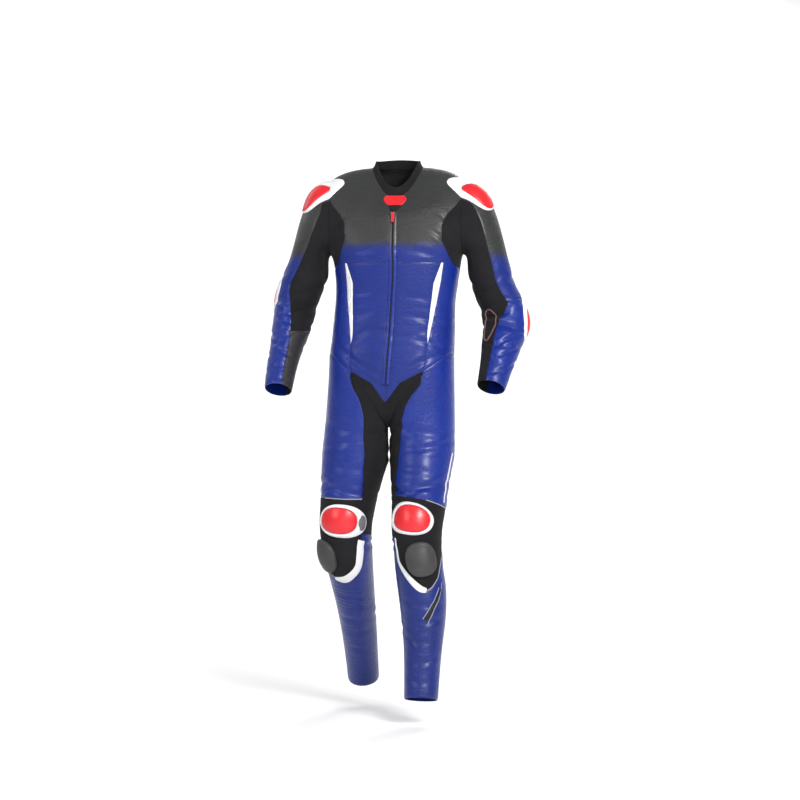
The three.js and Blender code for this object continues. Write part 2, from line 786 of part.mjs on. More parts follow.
// Moulded cups, their inserts and the knee sliders are ovals on a limb: the height and angle of the middle,
// half sizes, a turn in the oval's own plane, and how far the rim and the middle stand out. taper is how much
// narrower an oval is above its middle, share the insert's size in its cup, and aside and below its place.
const OVALS = table("limb z angle wide high turn rim crown taper share aside below", [
  ["right_leg", -943, 88, 61, 44, -2, 3, 9, 0, 0.78, -8, 0],
  ["left_leg", -947, 102, 57, 43, -11, 3, 9, 0, 0.82, 3, 0],
  ["right_leg", -1016, 36, 40, 46, 0, 11, 19, 0, 0, 0, 0],
  ["left_leg", -1039, 78, 37, 46, 8, 11, 19, 0, 0, 0, 0],
  ["right_arm", -338, -8, 36, 60, 0, 3, 7, 0, 0.62, 0, 14],
  ["left_arm", -400, -6, 36, 66, 0, 3, 7, 0, 0.62, 0, 14],
]);
const [RIGHT_KNEE, LEFT_KNEE, RIGHT_PUCK, LEFT_PUCK, RIGHT_ELBOW, LEFT_ELBOW] = OVALS;
const SHOULDER_OVAL = {
  x: 219,
  y: -24,
  z: -50,
  lean: 52,
  front: 26,
  wide: 42,
  high: 68,
  rim: 3,
  crown: 8,
  taper: 0.42,
  share: 0.68,
  aside: 6,
  below: 17,
};
const INSERT_THICK = 1.6;
const OVAL_POWER = 2.4;

function sectionAt(limb, z) {
  let [low, high] = [0, limb.sections.length - 1];
  for (let i = 0; i < 24; i += 1) {
    const middle = (low + high) / 2;
    if (rowAt(limb.sections, middle).z > z) low = middle;
    else high = middle;
  }
  return limbFrame(limb, low);
}

// The oval's own frame: facing points out of the cloth, up along it, and beside across it.
function ovalOnLimb(row) {
  const limb = LIMBS.find(({ name }) => name === row.limb);
  const { row: section, centre, along, outward, forward } = sectionAt(limb, row.z);
  const [c, s] = [Math.cos(radians(row.angle)), Math.sin(radians(row.angle))];
  const facing = outward.clone().multiplyScalar(c).addScaledVector(forward, s);
  const middle = centre
    .addScaledVector(outward, section.side * c)
    .addScaledVector(forward, section.front * s);
  const up = along.clone().negate().applyAxisAngle(facing, radians(row.turn));
  return { ...row, area: [limb.name], middle, facing, up, beside: up.clone().cross(facing) };
}

function ovalOnShoulder(out) {
  const { x, y, z, lean, front, aside } = SHOULDER_OVAL;
  const facing = new THREE.Vector3(out * Math.sin(radians(lean)), 0, Math.cos(radians(lean)));
  facing.applyAxisAngle(new THREE.Vector3(1, 0, 0), radians(front)).normalize();
  const up = new THREE.Vector3(-out, 0, 0);
  up.addScaledVector(facing, -up.dot(facing)).normalize();
  const area = ["front", "back", out < 0 ? "right_arm" : "left_arm"];
  const middle = new THREE.Vector3(out * x, y, z);
  const beside = up.clone().cross(facing);
  return { ...SHOULDER_OVAL, aside: -out * aside, area, middle, facing, up, beside };
}

function ovalReach(oval, point) {
  const offset = point.position.clone().sub(oval.middle);
  if (offset.dot(oval.facing) < -0.9 * oval.wide || point.normal.dot(oval.facing) < 0.05) return 2;
  const rise = offset.dot(oval.up) / oval.high;
  const narrowing = 1 - oval.taper * Math.min(Math.max(rise, -1), 1);
  const u = Math.abs(offset.dot(oval.beside)) / (oval.wide * narrowing);
  const v = Math.abs(rise);
  return Math.pow(u ** OVAL_POWER + v ** OVAL_POWER, 1 / OVAL_POWER);
}

const ovalLevel = (oval) => (p) => (1 - ovalReach(oval, p)) * Math.min(oval.wide, oval.high);
const insertOval = (oval) => ({
  ...oval,
  middle: oval.middle
    .clone()
    .addScaledVector(oval.beside, oval.aside)
    .addScaledVector(oval.up, -oval.below),
  wide: oval.wide * oval.share,
  high: oval.high * oval.share,
});
const ovalRise = (oval) => (p) => {
  const dome = Math.max(1 - ovalReach(oval, p) ** 2, 0);
  return oval.rim + (oval.crown - oval.rim) * dome;
};

// The pale band that runs down the inner side of the knee panel and turns under the slider, with its half
// width at each point of its route.
const BANDS = {
  right_leg: table("angle z half", [
    [134, -991, 10],
    [131, -1005, 10],
    [127, -1036, 10],
    [121, -1062, 9],
    [106, -1083, 9],
    [84, -1098, 9],
    [58, -1096, 4],
  ]),
  left_leg: table("angle z half", [
    [147, -980, 3],
    [144, -1006, 3],
    [140, -1037, 4],
    [126, -1062, 6],
    [107, -1088, 8],
    [89, -1108, 9],
    [74, -1114, 6],
  ]),
};
const BAND_THICK = 1.4;
const KNEE_ROUND = 66;

function bandLevel(limb) {
  const rows = BANDS[limb];
  const route = rows.map(({ angle, z }) => new THREE.Vector2(KNEE_ROUND * radians(angle), z));
  return (p) => {
    const here = new THREE.Vector2(KNEE_ROUND * radians(angleOf(p)), height(p));
    const inside = route.slice(1).map((to, i) => {
      const from = route[i];
      const span = to.clone().sub(from);
      const share = Math.min(Math.max(here.clone().sub(from).dot(span) / span.lengthSq(), 0), 1);
      const half = rows[i].half + share * (rows[i + 1].half - rows[i].half);
      return half - here.distanceTo(from.clone().addScaledVector(span, share));
    });
    return Math.max(...inside);
  };
}

// The neck badge and the pointed flap under it: half widths at each height.
const BADGE_LINE = table("z x", [[-72, 25], [-80, 31], [-88, 29], [-99, 19]]);
const FLAP_LINE = table("z x", [[-100, 19], [-105, 15], [-115, 4]]);
const BADGE_THICK = 2.2;
const FLAP_THICK = 1.2;

function shapeLevel(rows) {
  const [top, foot] = [rows[0].z, rows[rows.length - 1].z];
  return (p) => {
    const z = height(p);
    return Math.min(valueWhere(rows, "z", "x", z) - Math.abs(across(p)), top - z, z - foot);
  };
}

const on = (areas) => (face) => areas.includes(face.area);
const walls = [];

function addWall(name, chosen, outer, inner) {
  walls.push({ name, geometry: wallOf(faces.filter(chosen), outer, inner) });
}

function layOval(name, oval, insert) {
  const finer = name.startsWith("knee_cup") ? 1 : 0;
  const margin = 2;
  mark(name, on(oval.area), ovalLevel(oval), finer, margin);
  const rise = ovalRise(oval);
  const inside = ovalLevel(insertOval(oval));
  if (insert) mark(insert, (face) => face.trims.includes(name), inside, 0, margin);
  addWall(name, (face) => face.trims.includes(name), rise, () => TRIM_LIFT);
  if (!insert) return;
  const seat = (p) => rise(p) + TRIM_LIFT;
  addWall(insert, (face) => face.trims.includes(insert), (p) => seat(p) + INSERT_THICK, seat);
}

// The zip's slider and pull tab lie on the zip below the flap, in the plane of the cloth there.
const PULL_HEIGHT = -121;
const SLIDER = { wide: 10, long: 15, thick: 3.2, cheek: 1.6, cheekLong: 5, cheekTall: 5.6 };
const TAB = { wide: 6, long: 27, thick: 1.8, eye: 1.45, collar: 2.6 };
const PIN_RADIUS = 1;
const PIN_TALL = 3.9;
const TAB_TILT = 5;

function frontFrame(z) {
  let [low, high] = [ROW.collarFoot, ROW.hip];
  for (let i = 0; i < 24; i += 1) {
    const middle = (low + high) / 2;
    if (trunkPoint(middle, 0, -1).z > z) low = middle;
    else high = middle;
  }
  const step = 0.15;
  const down = trunkPoint(low + step, 0, -1).sub(trunkPoint(low - step, 0, -1)).setX(0).normalize();
  const facing = new THREE.Vector3(-1, 0, 0).cross(down).normalize();
  const origin = trunkPoint(low, 0, -1);
  return new THREE.Matrix4().makeBasis(new THREE.Vector3(-1, 0, 0), down, facing).setPosition(origin);
}

// In the frame of the zip x runs across it, y down it and z out of the cloth.
function solidFrom(geometry) {
  const flat = geometry.index ? geometry.toNonIndexed() : geometry;
  const position = flat.getAttribute("position");
  const seen = new Map();
  const coordinates = [];
  const corners = [];
  for (let i = 0; i < position.count; i += 1) {
    const place = [position.getX(i), position.getY(i), position.getZ(i)];
    const key = place.map((v) => Math.round(v * 1e4)).join();
    if (!seen.has(key)) {
      seen.set(key, seen.size);
      coordinates.push(...place);
    }
    corners.push(seen.get(key));
  }
  const mesh = {
    numProp: 3,
    vertProperties: new Float32Array(coordinates),
    triVerts: new Uint32Array(corners),
  };
  return new wasm.Manifold(new wasm.Mesh(mesh));
}

function geometryFrom(solid) {
  const { vertProperties, triVerts } = solid.getMesh();
  const geometry = new THREE.BufferGeometry();
  geometry.setAttribute("position", new THREE.BufferAttribute(new Float32Array(vertProperties), 3));
  return geometry.setIndex(new THREE.BufferAttribute(new Uint32Array(triVerts), 1));
}

// A plate of the given outline in x and y, from z nought up.
function plate(outline, thick) {
  const shape = new THREE.Shape(outline.map(([x, y]) => new THREE.Vector2(x, y)));
  return new THREE.ExtrudeGeometry(shape, { depth: thick, bevelEnabled: false, steps: 1 });
}

// A plate that stands across the zip: its outline is in y and z, and its thickness runs along x.
function cheek(outline, thick, x) {
  const turned = plate(outline, thick).applyMatrix4(new THREE.Matrix4().set(
    0, 0, 1, x,
    1, 0, 0, 0,
    0, 1, 0, 0,
    0, 0, 0, 1,
  ));
  return turned;
}

function ring(radius, sides, y, z) {
  return Array.from({ length: sides }, (_, i) => {
    const turn = (2 * Math.PI * i) / sides;
    return [y + radius * Math.cos(turn), z + radius * Math.sin(turn)];
  });
}

function zipSlider() {
  const { wide, long, thick, cheek: side, cheekLong, cheekTall } = SLIDER;
  const [w, taper] = [wide / 2, wide / 3];
  const bend = long * 0.55;
  const body = plate([[-w, 0], [w, 0], [w, bend], [taper, long], [-taper, long], [-w, bend]], thick);
  const gap = TAB.wide / 2 + 0.4;
  const wall = [[0.4, 0.5], [cheekLong, 0.5], [cheekLong, cheekTall - 1], [cheekLong - 1, cheekTall],
    [1.4, cheekTall], [0.4, cheekTall - 1]];
  const raise = thick - 1;
  const lift = (outline) => outline.map(([y, z]) => [y, z + raise]);
  const pin = cheek(ring(PIN_RADIUS, 16, cheekLong / 2, thick + PIN_TALL - 1), 2 * gap + 1, -gap - 0.5);
  const pieces = [cheek(lift(wall), side, gap), cheek(lift(wall), side, -gap - side), pin];
  const whole = pieces.reduce((sum, piece) => sum.add(solidFrom(piece)), solidFrom(body));
  return geometryFrom(whole);
}

// The tab hangs from an eye round the slider's pin. Its own origin is the pin's axis.
function pullTab() {
  const { wide, long, thick, eye, collar } = TAB;
  const knuckle = solidFrom(cheek(ring(collar, 20, 0, 0), wide, -wide / 2));
  const bore = solidFrom(cheek(ring(eye, 20, 0, 0), wide + 2, -wide / 2 - 1));
  const tip = wide * 0.42;
  const outline = [[-wide / 2, 1], [wide / 2, 1], [wide / 2 + 1, long * 0.5], [wide / 2 + 1, long - tip],
    [wide / 2 - 1, long], [-wide / 2 + 1, long], [-wide / 2 - 1, long - tip], [-wide / 2 - 1, long * 0.5]];
  const blade = solidFrom(plate(outline, thick).translate(0, 0, -thick / 2));
  return geometryFrom(knuckle.add(blade).subtract(bore));
}

// Materials
const BLUE = { color: 0x2038b0, roughness: 0.42, metalness: 0.1 };
const SHIN_BLUE = { color: 0x2a30a0, roughness: 0.4, metalness: 0.1 };
const CHARCOAL = { color: 0x3c3c3e, roughness: 0.6, metalness: 0 };
const BLACK_STRETCH = { color: 0x1c1b1e, roughness: 0.85, metalness: 0 };
const WHITE = { color: 0xebebee, roughness: 0.45, metalness: 0 };
const RED = { color: 0xe61e23, roughness: 0.45, metalness: 0 };
const SLIDER_GREY = { color: 0x3c3c3e, roughness: 0.55, metalness: 0 };
const METAL = { color: 0x8c8f94, roughness: 0.3, metalness: 1 };
const FINISHES = [
  [/insert|badge|pull_tab/, RED],
  [/cup|stripe|band/, WHITE],
  [/knee_slider/, SLIDER_GREY],
  [/zip_slider/, METAL],
  [/collar|chest|sleeve_upper/, CHARCOAL],
  [/inner|underarm|knee|gusset|main_zip|flap/, BLACK_STRETCH],
  [/shin|calf/, SHIN_BLUE],
  [/./, BLUE],
];
const finishOf = (name) => {
  const [, finish] = FINISHES.find(([pattern]) => pattern.test(name));
  return new THREE.MeshStandardMaterial(finish);
};

function layTrims() {
  for (const [limb, side, cup, puck, elbow] of [
    ["right_leg", "right", RIGHT_KNEE, RIGHT_PUCK, RIGHT_ELBOW],
    ["left_leg", "left", LEFT_KNEE, LEFT_PUCK, LEFT_ELBOW],
  ]) {
    layOval(`knee_cup_${side}`, ovalOnLimb(cup), `knee_insert_${side}`);
    layOval(`knee_slider_${side}`, ovalOnLimb(puck));
    layOval(`elbow_cup_${side}`, ovalOnLimb(elbow), `elbow_insert_${side}`);
    layOval(`shoulder_cup_${side}`, ovalOnShoulder(side === "right" ? -1 : 1), `shoulder_insert_${side}`);
    const band = `knee_band_${side}`;
    mark(band, on([limb]), bandLevel(limb), 1, 10);
    addWall(band, (face) => face.trims.includes(band), () => TRIM_LIFT + BAND_THICK, () => TRIM_LIFT);
  }
  const trims = [["neck_badge", BADGE_LINE, BADGE_THICK], ["zip_flap", FLAP_LINE, FLAP_THICK]];
  for (const [name, line, thick] of trims) {
    mark(name, on(["front"]), shapeLevel(line), 0, 4);
    addWall(name, (face) => face.trims.includes(name), () => TRIM_LIFT + thick, () => TRIM_LIFT);
  }
}

function buildSuit() {
  const grid = layTrunk();
  for (const limb of LIMBS) layLimb(grid, limb);
  setNormals();
  cutTrunk();
  for (const limb of LIMBS) cutLimb(limb);
  joinIslands();
  const panels = [...new Set(faces.map((face) => face.piece))];
  for (const name of panels) addWall(name, (face) => face.piece === name, () => 0, () => -WALL);
  rounding = 0;
  layTrims();
  const suit = new THREE.Group();
  for (const { name, geometry } of walls) {
    const mesh = new THREE.Mesh(geometry, finishOf(name));
    mesh.name = name;
    suit.add(mesh);
  }
  const zip = new THREE.Group();
  zip.applyMatrix4(frontFrame(PULL_HEIGHT));
  const slider = new THREE.Mesh(zipSlider(), finishOf("zip_slider"));
  slider.name = "zip_slider";
  slider.position.z = TRIM_LIFT;
  const tab = new THREE.Mesh(pullTab(), finishOf("pull_tab"));
  tab.name = "pull_tab";
  tab.position.set(0, SLIDER.cheekLong / 2, TRIM_LIFT + SLIDER.thick + PIN_TALL - 1);
  tab.rotation.x = -radians(TAB_TILT);
  zip.add(slider, tab);
  suit.add(zip);
  return suit;
}

export default buildSuit();
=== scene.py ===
"""The looks of a motorcycle race suit in its worn, hollow form.

Sizes are in millimetres until a mesh is made. Every panel is cut from one fine sheet that has the form of the
solids, and gets its own thickness, seams, creases and finish. +Z is up and the front faces -Y."""

import math

import bpy
import numpy as np
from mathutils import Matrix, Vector
from mathutils.bvhtree import BVHTree
from mathutils.kdtree import KDTree


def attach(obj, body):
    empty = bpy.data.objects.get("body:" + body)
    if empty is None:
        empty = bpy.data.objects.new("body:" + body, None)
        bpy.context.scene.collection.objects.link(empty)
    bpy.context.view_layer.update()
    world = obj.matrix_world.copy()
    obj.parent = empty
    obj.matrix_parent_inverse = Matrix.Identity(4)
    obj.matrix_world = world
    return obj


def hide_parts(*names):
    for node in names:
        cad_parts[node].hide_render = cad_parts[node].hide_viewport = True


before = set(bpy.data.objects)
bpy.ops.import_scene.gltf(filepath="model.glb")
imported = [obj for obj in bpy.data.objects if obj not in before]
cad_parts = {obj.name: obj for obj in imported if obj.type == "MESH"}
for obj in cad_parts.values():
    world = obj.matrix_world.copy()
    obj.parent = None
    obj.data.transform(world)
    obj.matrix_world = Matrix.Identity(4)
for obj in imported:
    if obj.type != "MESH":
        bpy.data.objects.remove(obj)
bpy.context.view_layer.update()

# Form of the suit: the same sizes as the solids
# side frontDrop backDrop power w f b n x reach
TRUNK = np.array([
    [30, 78, -8, 1.9, 60, 64, 54, 2.0, 3, 240],
    [12, 88, -4, 1.8, 69, 73, 64, 2.0, 3, 240],
    [8, 100, 8, 1.6, 98, 84, 80, 2.0, 2, 240],
    [-1, 109, 24, 1.4, 140, 95, 95, 2.1, 1, 240],
    [-22, 106, 38, 1.3, 178, 104, 108, 2.2, 0, 240],
    [-70, 88, 50, 1.3, 214, 111, 118, 2.3, 0, 240],
    [-120, 62, 46, 1.3, 224, 116, 123, 2.4, 0, 240],
    [-175, 34, 26, 1.3, 208, 120, 124, 2.4, 0, 240],
    [-225, 12, 8, 1.3, 178, 121, 122, 2.4, 0, 240],
    [-254, 0, 0, 1.3, 170, 120, 119, 2.4, 1, 240],
    [-300, 0, 0, 1.3, 164, 116, 114, 2.4, 0, 240],
    [-350, 0, 0, 1.3, 161, 109, 109, 2.4, -4, 240],
    [-400, 0, 0, 1.3, 163, 106, 112, 2.4, -7, 240],
    [-450, 0, 0, 1.3, 165, 108, 120, 2.4, -10, 240],
    [-495, 0, 0, 1.3, 168, 111, 128, 2.4, -14, 168],
    [-540, 0, 0, 1.3, 174, 112, 132, 2.4, -17, 110],
    [-580, 0, 0, 1.3, 179, 108, 130, 2.4, -20, 66],
    [-620, 0, 0, 1.3, 182, 99, 120, 2.4, -22, 38],
    [-655, 0, 0, 1.3, 184, 76, 92, 2.4, -22, 20],
    [-680, 0, 0, 1.3, 184, 40, 50, 2.4, -22, 7],
    [-690, 0, 0, 1.3, 184, 0, 0, 2.4, -22, 5],
], float)
FOOT, SHOULDER, ARMPIT, HIP, CROTCH = 1, 4, 8, 14, 20
ARMHOLE_REACH = 178
HALF_COLUMNS = 30
# Rows of points between the collar's top and those rings, in turn
COLLAR_ROWS, CHEST_ROWS, ARM_ROWS, BELLY_ROWS, HIP_ROWS = 8, 18, 28, 42, 40

# x y z side front
LIMBS = {
    "right_arm": dict(out=-1, steps=9, lean=0.95, fine=58, rows=np.array([
        [-243, 8, -262, 57, 60], [-266, 16, -319, 58, 59], [-280, 18, -373, 56, 59],
        [-290, 0, -427, 51, 54], [-299, -26, -481, 43, 48], [-306, -52, -530, 40, 42],
        [-311, -82, -588, 37, 38]], float)),
    "left_arm": dict(out=1, steps=9, lean=0.95, fine=58, rows=np.array([
        [247, 8, -262, 57, 60], [263, 16, -320, 56, 59], [284, 20, -372, 60, 61],
        [291, 8, -420, 60, 58], [281, -22, -475, 52, 52], [271, -52, -525, 44, 45],
        [259, -85, -582, 38, 38]], float)),
    "right_leg": dict(out=-1, steps=15, lean=0.6, fine=104, rows=np.array([
        [-113, 0, -765, 91, 96], [-124, -6, -832, 82, 88], [-132, -12, -895, 75, 80],
        [-137, -18, -955, 71, 76], [-134, -8, -1015, 67, 73], [-128, 28, -1085, 60, 67],
        [-122, 74, -1165, 53, 62], [-118, 122, -1250, 48, 56], [-116, 162, -1325, 45, 48],
        [-115, 196, -1392, 43, 44]], float)),
    "left_leg": dict(out=1, steps=15, lean=0.6, fine=104, rows=np.array([
        [68, -12, -765, 88, 94], [66, -38, -832, 79, 86], [65, -62, -895, 73, 79],
        [62, -82, -955, 68, 74], [66, -94, -1015, 64, 70], [70, -98, -1065, 63, 70],
        [78, -100, -1125, 63, 71], [82, -108, -1195, 58, 66], [82, -126, -1270, 50, 56],
        [81, -144, -1340, 46, 48], [80, -160, -1400, 44, 45]], float)),
}
# Steps over which the rings turn level, and rows of points between an opening and its limb
LEVELLING, FINE_BLEND = 8, 30

# The folds that the solids have too: z angle depth height spread
FOLDS = {
    "right_arm": [(-352, 150, 5, 13, 60), (-395, 120, 4, 12, 55)],
    "left_arm": [(-350, 140, 5, 13, 60), (-402, 110, 5, 13, 55), (-445, 80, 4, 12, 60)],
    "right_leg": [(-868, 90, 5, 15, 55), (-1000, 270, 7, 16, 60), (-700, 75, 5, 16, 40)],
    "left_leg": [(-872, 85, 5, 15, 55), (-1010, 270, 7, 16, 60), (-690, 75, 5, 16, 40)],
}


def row_at(rows, at):
    at = np.asarray(at, float)
    last = len(rows) - 1
    i = np.clip(np.floor(at).astype(int), 0, last - 1)
    t = (at - i)[..., None]
    a, b, c, d = (rows[np.clip(i + k, 0, last)] for k in (-1, 0, 1, 2))
    lead, trail, gap = (c - a) / 2, (d - b) / 2, c - b
    return b + t * (lead + t * (3 * gap - 2 * lead - trail + t * (lead + trail - 2 * gap)))


def along_line(line, at):
    xs, ys = np.array(line, float).T
    order = np.argsort(xs)
    return np.interp(at, xs[order], ys[order])


def unit(v):
    return v / np.maximum(np.linalg.norm(v, axis=-1, keepdims=True), 1e-12)


def bell(t):
    return np.exp(-t * t)


def cos_sin(angle):
    return np.cos(np.radians(angle)), np.sin(np.radians(angle))


def smoothstep(t):
    t = np.clip(t, 0, 1)
    return t * t * (3 - 2 * t)


def trunk_point(at, share, facing):
    at, share = np.broadcast_arrays(np.asarray(at, float), np.asarray(share, float))
    side, front_drop, back_drop, power, w, f, b, n, x, reach = np.moveaxis(row_at(TRUNK, at), -1, 0)
    sleeved = (at > SHOULDER) & (at < ARMPIT)
    reach = np.where(sleeved, ARMHOLE_REACH, np.where(at > HIP, reach, w))
    limit = np.arcsin(np.minimum(reach / w, 1) ** (n / 2))
    angle = np.sign(share) * limit * np.abs(share) ** (n / 2)
    across = np.sign(angle) * np.abs(np.sin(angle)) ** (2 / n)
    cosine = np.maximum(np.cos(angle), 0)
    depth, drop = (f, front_drop) if facing < 0 else (b, back_drop)
    return np.stack([x + w * across, facing * depth * cosine ** (2 / n), side - drop * cosine ** power], -1)


def limb_frame(name, at):
    limb = LIMBS[name]
    rows, last = limb["rows"], len(limb["rows"]) - 1
    at = np.asarray(at, float)
    row = row_at(rows, at)
    ahead = row_at(rows, np.minimum(at + 0.05, last))[..., :3]
    behind = row_at(rows, np.maximum(at - 0.05, 0))[..., :3]
    along = unit(ahead - behind)
    outward = np.zeros_like(along)
    outward[..., 0] = limb["out"]
    outward = unit(outward - along * (outward * along).sum(-1, keepdims=True))
    forward = np.zeros_like(along)
    forward[..., 1] = -1
    forward -= along * (forward * along).sum(-1, keepdims=True)
    forward = unit(forward - outward * (forward * outward).sum(-1, keepdims=True))
    return row, along, outward, forward


def limb_point(name, at, angle):
    row, _, outward, forward = limb_frame(name, at)
    fold = 0
    for z, where, depth, tall, spread in FOLDS[name]:
        turn = np.degrees(np.arccos(np.clip(np.cos(np.radians(angle - where)), -1, 1)))
        fold = fold + depth * bell((row[..., 2] - z) / tall) * bell(turn / spread)
    cos, sin = cos_sin(angle)
    aside = ((row[..., 3] - fold) * cos)[..., None]
    ahead = ((row[..., 4] - fold) * sin)[..., None]
    return row[..., :3] + outward * aside + forward * ahead


# The sheet: one list of points, and for each area its own grid of them
positions = []
areas = {}


def add_points(block):
    start = sum(len(b) for b in positions)
    flat = block.reshape(-1, 3)
    positions.append(flat)
    return np.arange(start, start + len(flat)).reshape(block.shape[:-1])


def trunk_rows():
    def stretch(start, end, steps, closing=False):
        t = np.arange(1, steps + 1) / steps
        return start + (end - start) * ((1 - np.cos(np.pi * t)) / 2 if closing else t)
    return np.concatenate([[0.0], stretch(0, FOOT, COLLAR_ROWS), stretch(FOOT, SHOULDER, CHEST_ROWS),
                           stretch(SHOULDER, ARMPIT, ARM_ROWS, True), stretch(ARMPIT, HIP, BELLY_ROWS),
                           stretch(HIP, CROTCH, HIP_ROWS, True)])


def lay_trunk():
    rows = trunk_rows()
    shares = np.linspace(-1, 1, 2 * HALF_COLUMNS + 1)
    front = add_points(trunk_point(rows[:, None], shares[None, :], -1))
    back = add_points(trunk_point(rows[:, None], shares[None, :], 1))
    parted = ((rows > SHOULDER) & (rows < ARMPIT)) | ((rows > HIP) & (rows < CROTCH))
    back[~parted, 0] = front[~parted, 0]
    back[~parted, -1] = front[~parted, -1]
    back[-1] = front[-1]
    areas["front"] = dict(grid=front, turn=-1)
    areas["back"] = dict(grid=back, turn=1)
    return rows, front, back


def lay_limb(name, rows, front, back):
    limb = LIMBS[name]
    arm = name.endswith("arm")
    start, end = (SHOULDER, ARMPIT) if arm else (HIP, CROTCH)
    inside = np.where((rows >= start) & (rows <= end))[0]
    column = 0 if limb["out"] < 0 else 2 * HALF_COLUMNS
    loop = np.concatenate([front[inside, column], back[inside[1:-1][::-1], column]])
    everything = np.concatenate(positions)
    here = everything[loop]
    even = 360 * np.arange(len(loop)) / len(loop)
    row, along, _, _ = limb_frame(name, 0.0)
    first = even.copy()
    if not arm:
        aside = (here[:, 0] - row[0]) * limb["out"] / row[3]
        ahead = (row[1] - here[:, 1]) / row[4]
        turn = np.degrees(np.arctan2(ahead, aside)) % 360 - even
        first = even + (turn + 540) % 360 - 180
        first[0] = 0
    t = (np.arange(1, FINE_BLEND + 1) / FINE_BLEND)[:, None, None]
    target = limb_point(name, 0.0, first)
    span = np.linalg.norm(target - here, axis=-1)[None, :, None] * limb["lean"]
    leave = np.array([limb["out"], 0, 0]) if arm else np.array([0, 0, -1])
    passage = ((2 * t**3 - 3 * t**2 + 1) * here + (t**3 - 2 * t**2 + t) * span * leave
               + (3 * t**2 - 2 * t**3) * target + (t**3 - t**2) * span * along)
    step = np.arange(1, limb["fine"] + 1) * limb["steps"] / limb["fine"]
    at = (len(limb["rows"]) - 1) * step / limb["steps"]
    level = smoothstep(step / LEVELLING)[:, None]
    angles = first + (even - first) * level
    tube = limb_point(name, at[:, None], angles)
    rest = add_points(np.concatenate([passage, tube]))
    grid = np.concatenate([loop[None], rest])
    all_angles = np.concatenate([np.repeat(first[None], FINE_BLEND + 1, 0), angles])
    grid = np.concatenate([grid, grid[:, :1]], 1)
    all_angles = np.concatenate([all_angles, all_angles[:, :1] + 360], 1)
    areas[name] = dict(grid=grid, turn=limb["out"], angles=all_angles)


rows, front_grid, back_grid = lay_trunk()
for limb_name in LIMBS:
    lay_limb(limb_name, rows, front_grid, back_grid)
# Places of the sheet's points; N holds their normals
P = np.concatenate(positions)


def corners(grid):
    """The four corners of each cell of a grid, in turn."""
    return (q.ravel() for q in (grid[:-1, :-1], grid[:-1, 1:], grid[1:, 1:], grid[1:, :-1]))


def proper(tri):
    """The triangles whose three corners differ."""
    return tri[(tri[:, 0] != tri[:, 1]) & (tri[:, 1] != tri[:, 2]) & (tri[:, 0] != tri[:, 2])]


def triangles(grid, turn):
    a, b, c, d = corners(grid)
    short = np.linalg.norm(P[a] - P[c], axis=1) < np.linalg.norm(P[b] - P[d], axis=1)
    one = np.where(short[:, None], np.stack([a, b, c], 1), np.stack([a, b, d], 1))
    two = np.where(short[:, None], np.stack([a, c, d], 1), np.stack([b, c, d], 1))
    both = np.concatenate([one, two])
    return proper(both[:, ::-1] if turn < 0 else both)


def sheet_normals():
    total = np.zeros_like(P)
    for area in areas.values():
        tri = area["tri"]
        face = np.cross(P[tri[:, 1]] - P[tri[:, 0]], P[tri[:, 2]] - P[tri[:, 0]])
        for k in range(3):
            np.add.at(total, tri[:, k], face)
    return unit(total)


for area in areas.values():
    area["tri"] = triangles(area["grid"], area["turn"])
N = sheet_normals()

# The creases at the back of the right limbs; those of the left limbs turn the other way
ARM_BACK = [(250, -330, 20, 44, 7, 3.0, 5), (250, -380, -16, 44, 7, 3.0, -4), (270, -430, 12, 40, 6, 2.8, 4),
            (220, -480, -12, 36, 6, 2.4, 4), (260, -530, 12, 34, 5, 2.4, -4), (180, -300, -30, 40, 7, 3.0, 4),
            (180, -420, 18, 40, 6, 3.0, -4)]
LEG_BACK = [(262, -820, 8, 56, 9, 3.0, 5), (280, -872, -8, 50, 8, 3.4, -5), (260, -940, 10, 50, 7, 3.6, 5),
            (180, -1000, 16, 40, 6, 3.0, 4), (180, -760, -20, 50, 9, 2.4, 5)]


def other_way(creases):
    return [(middle, z, -turn, *rest) for middle, z, turn, *rest in creases]


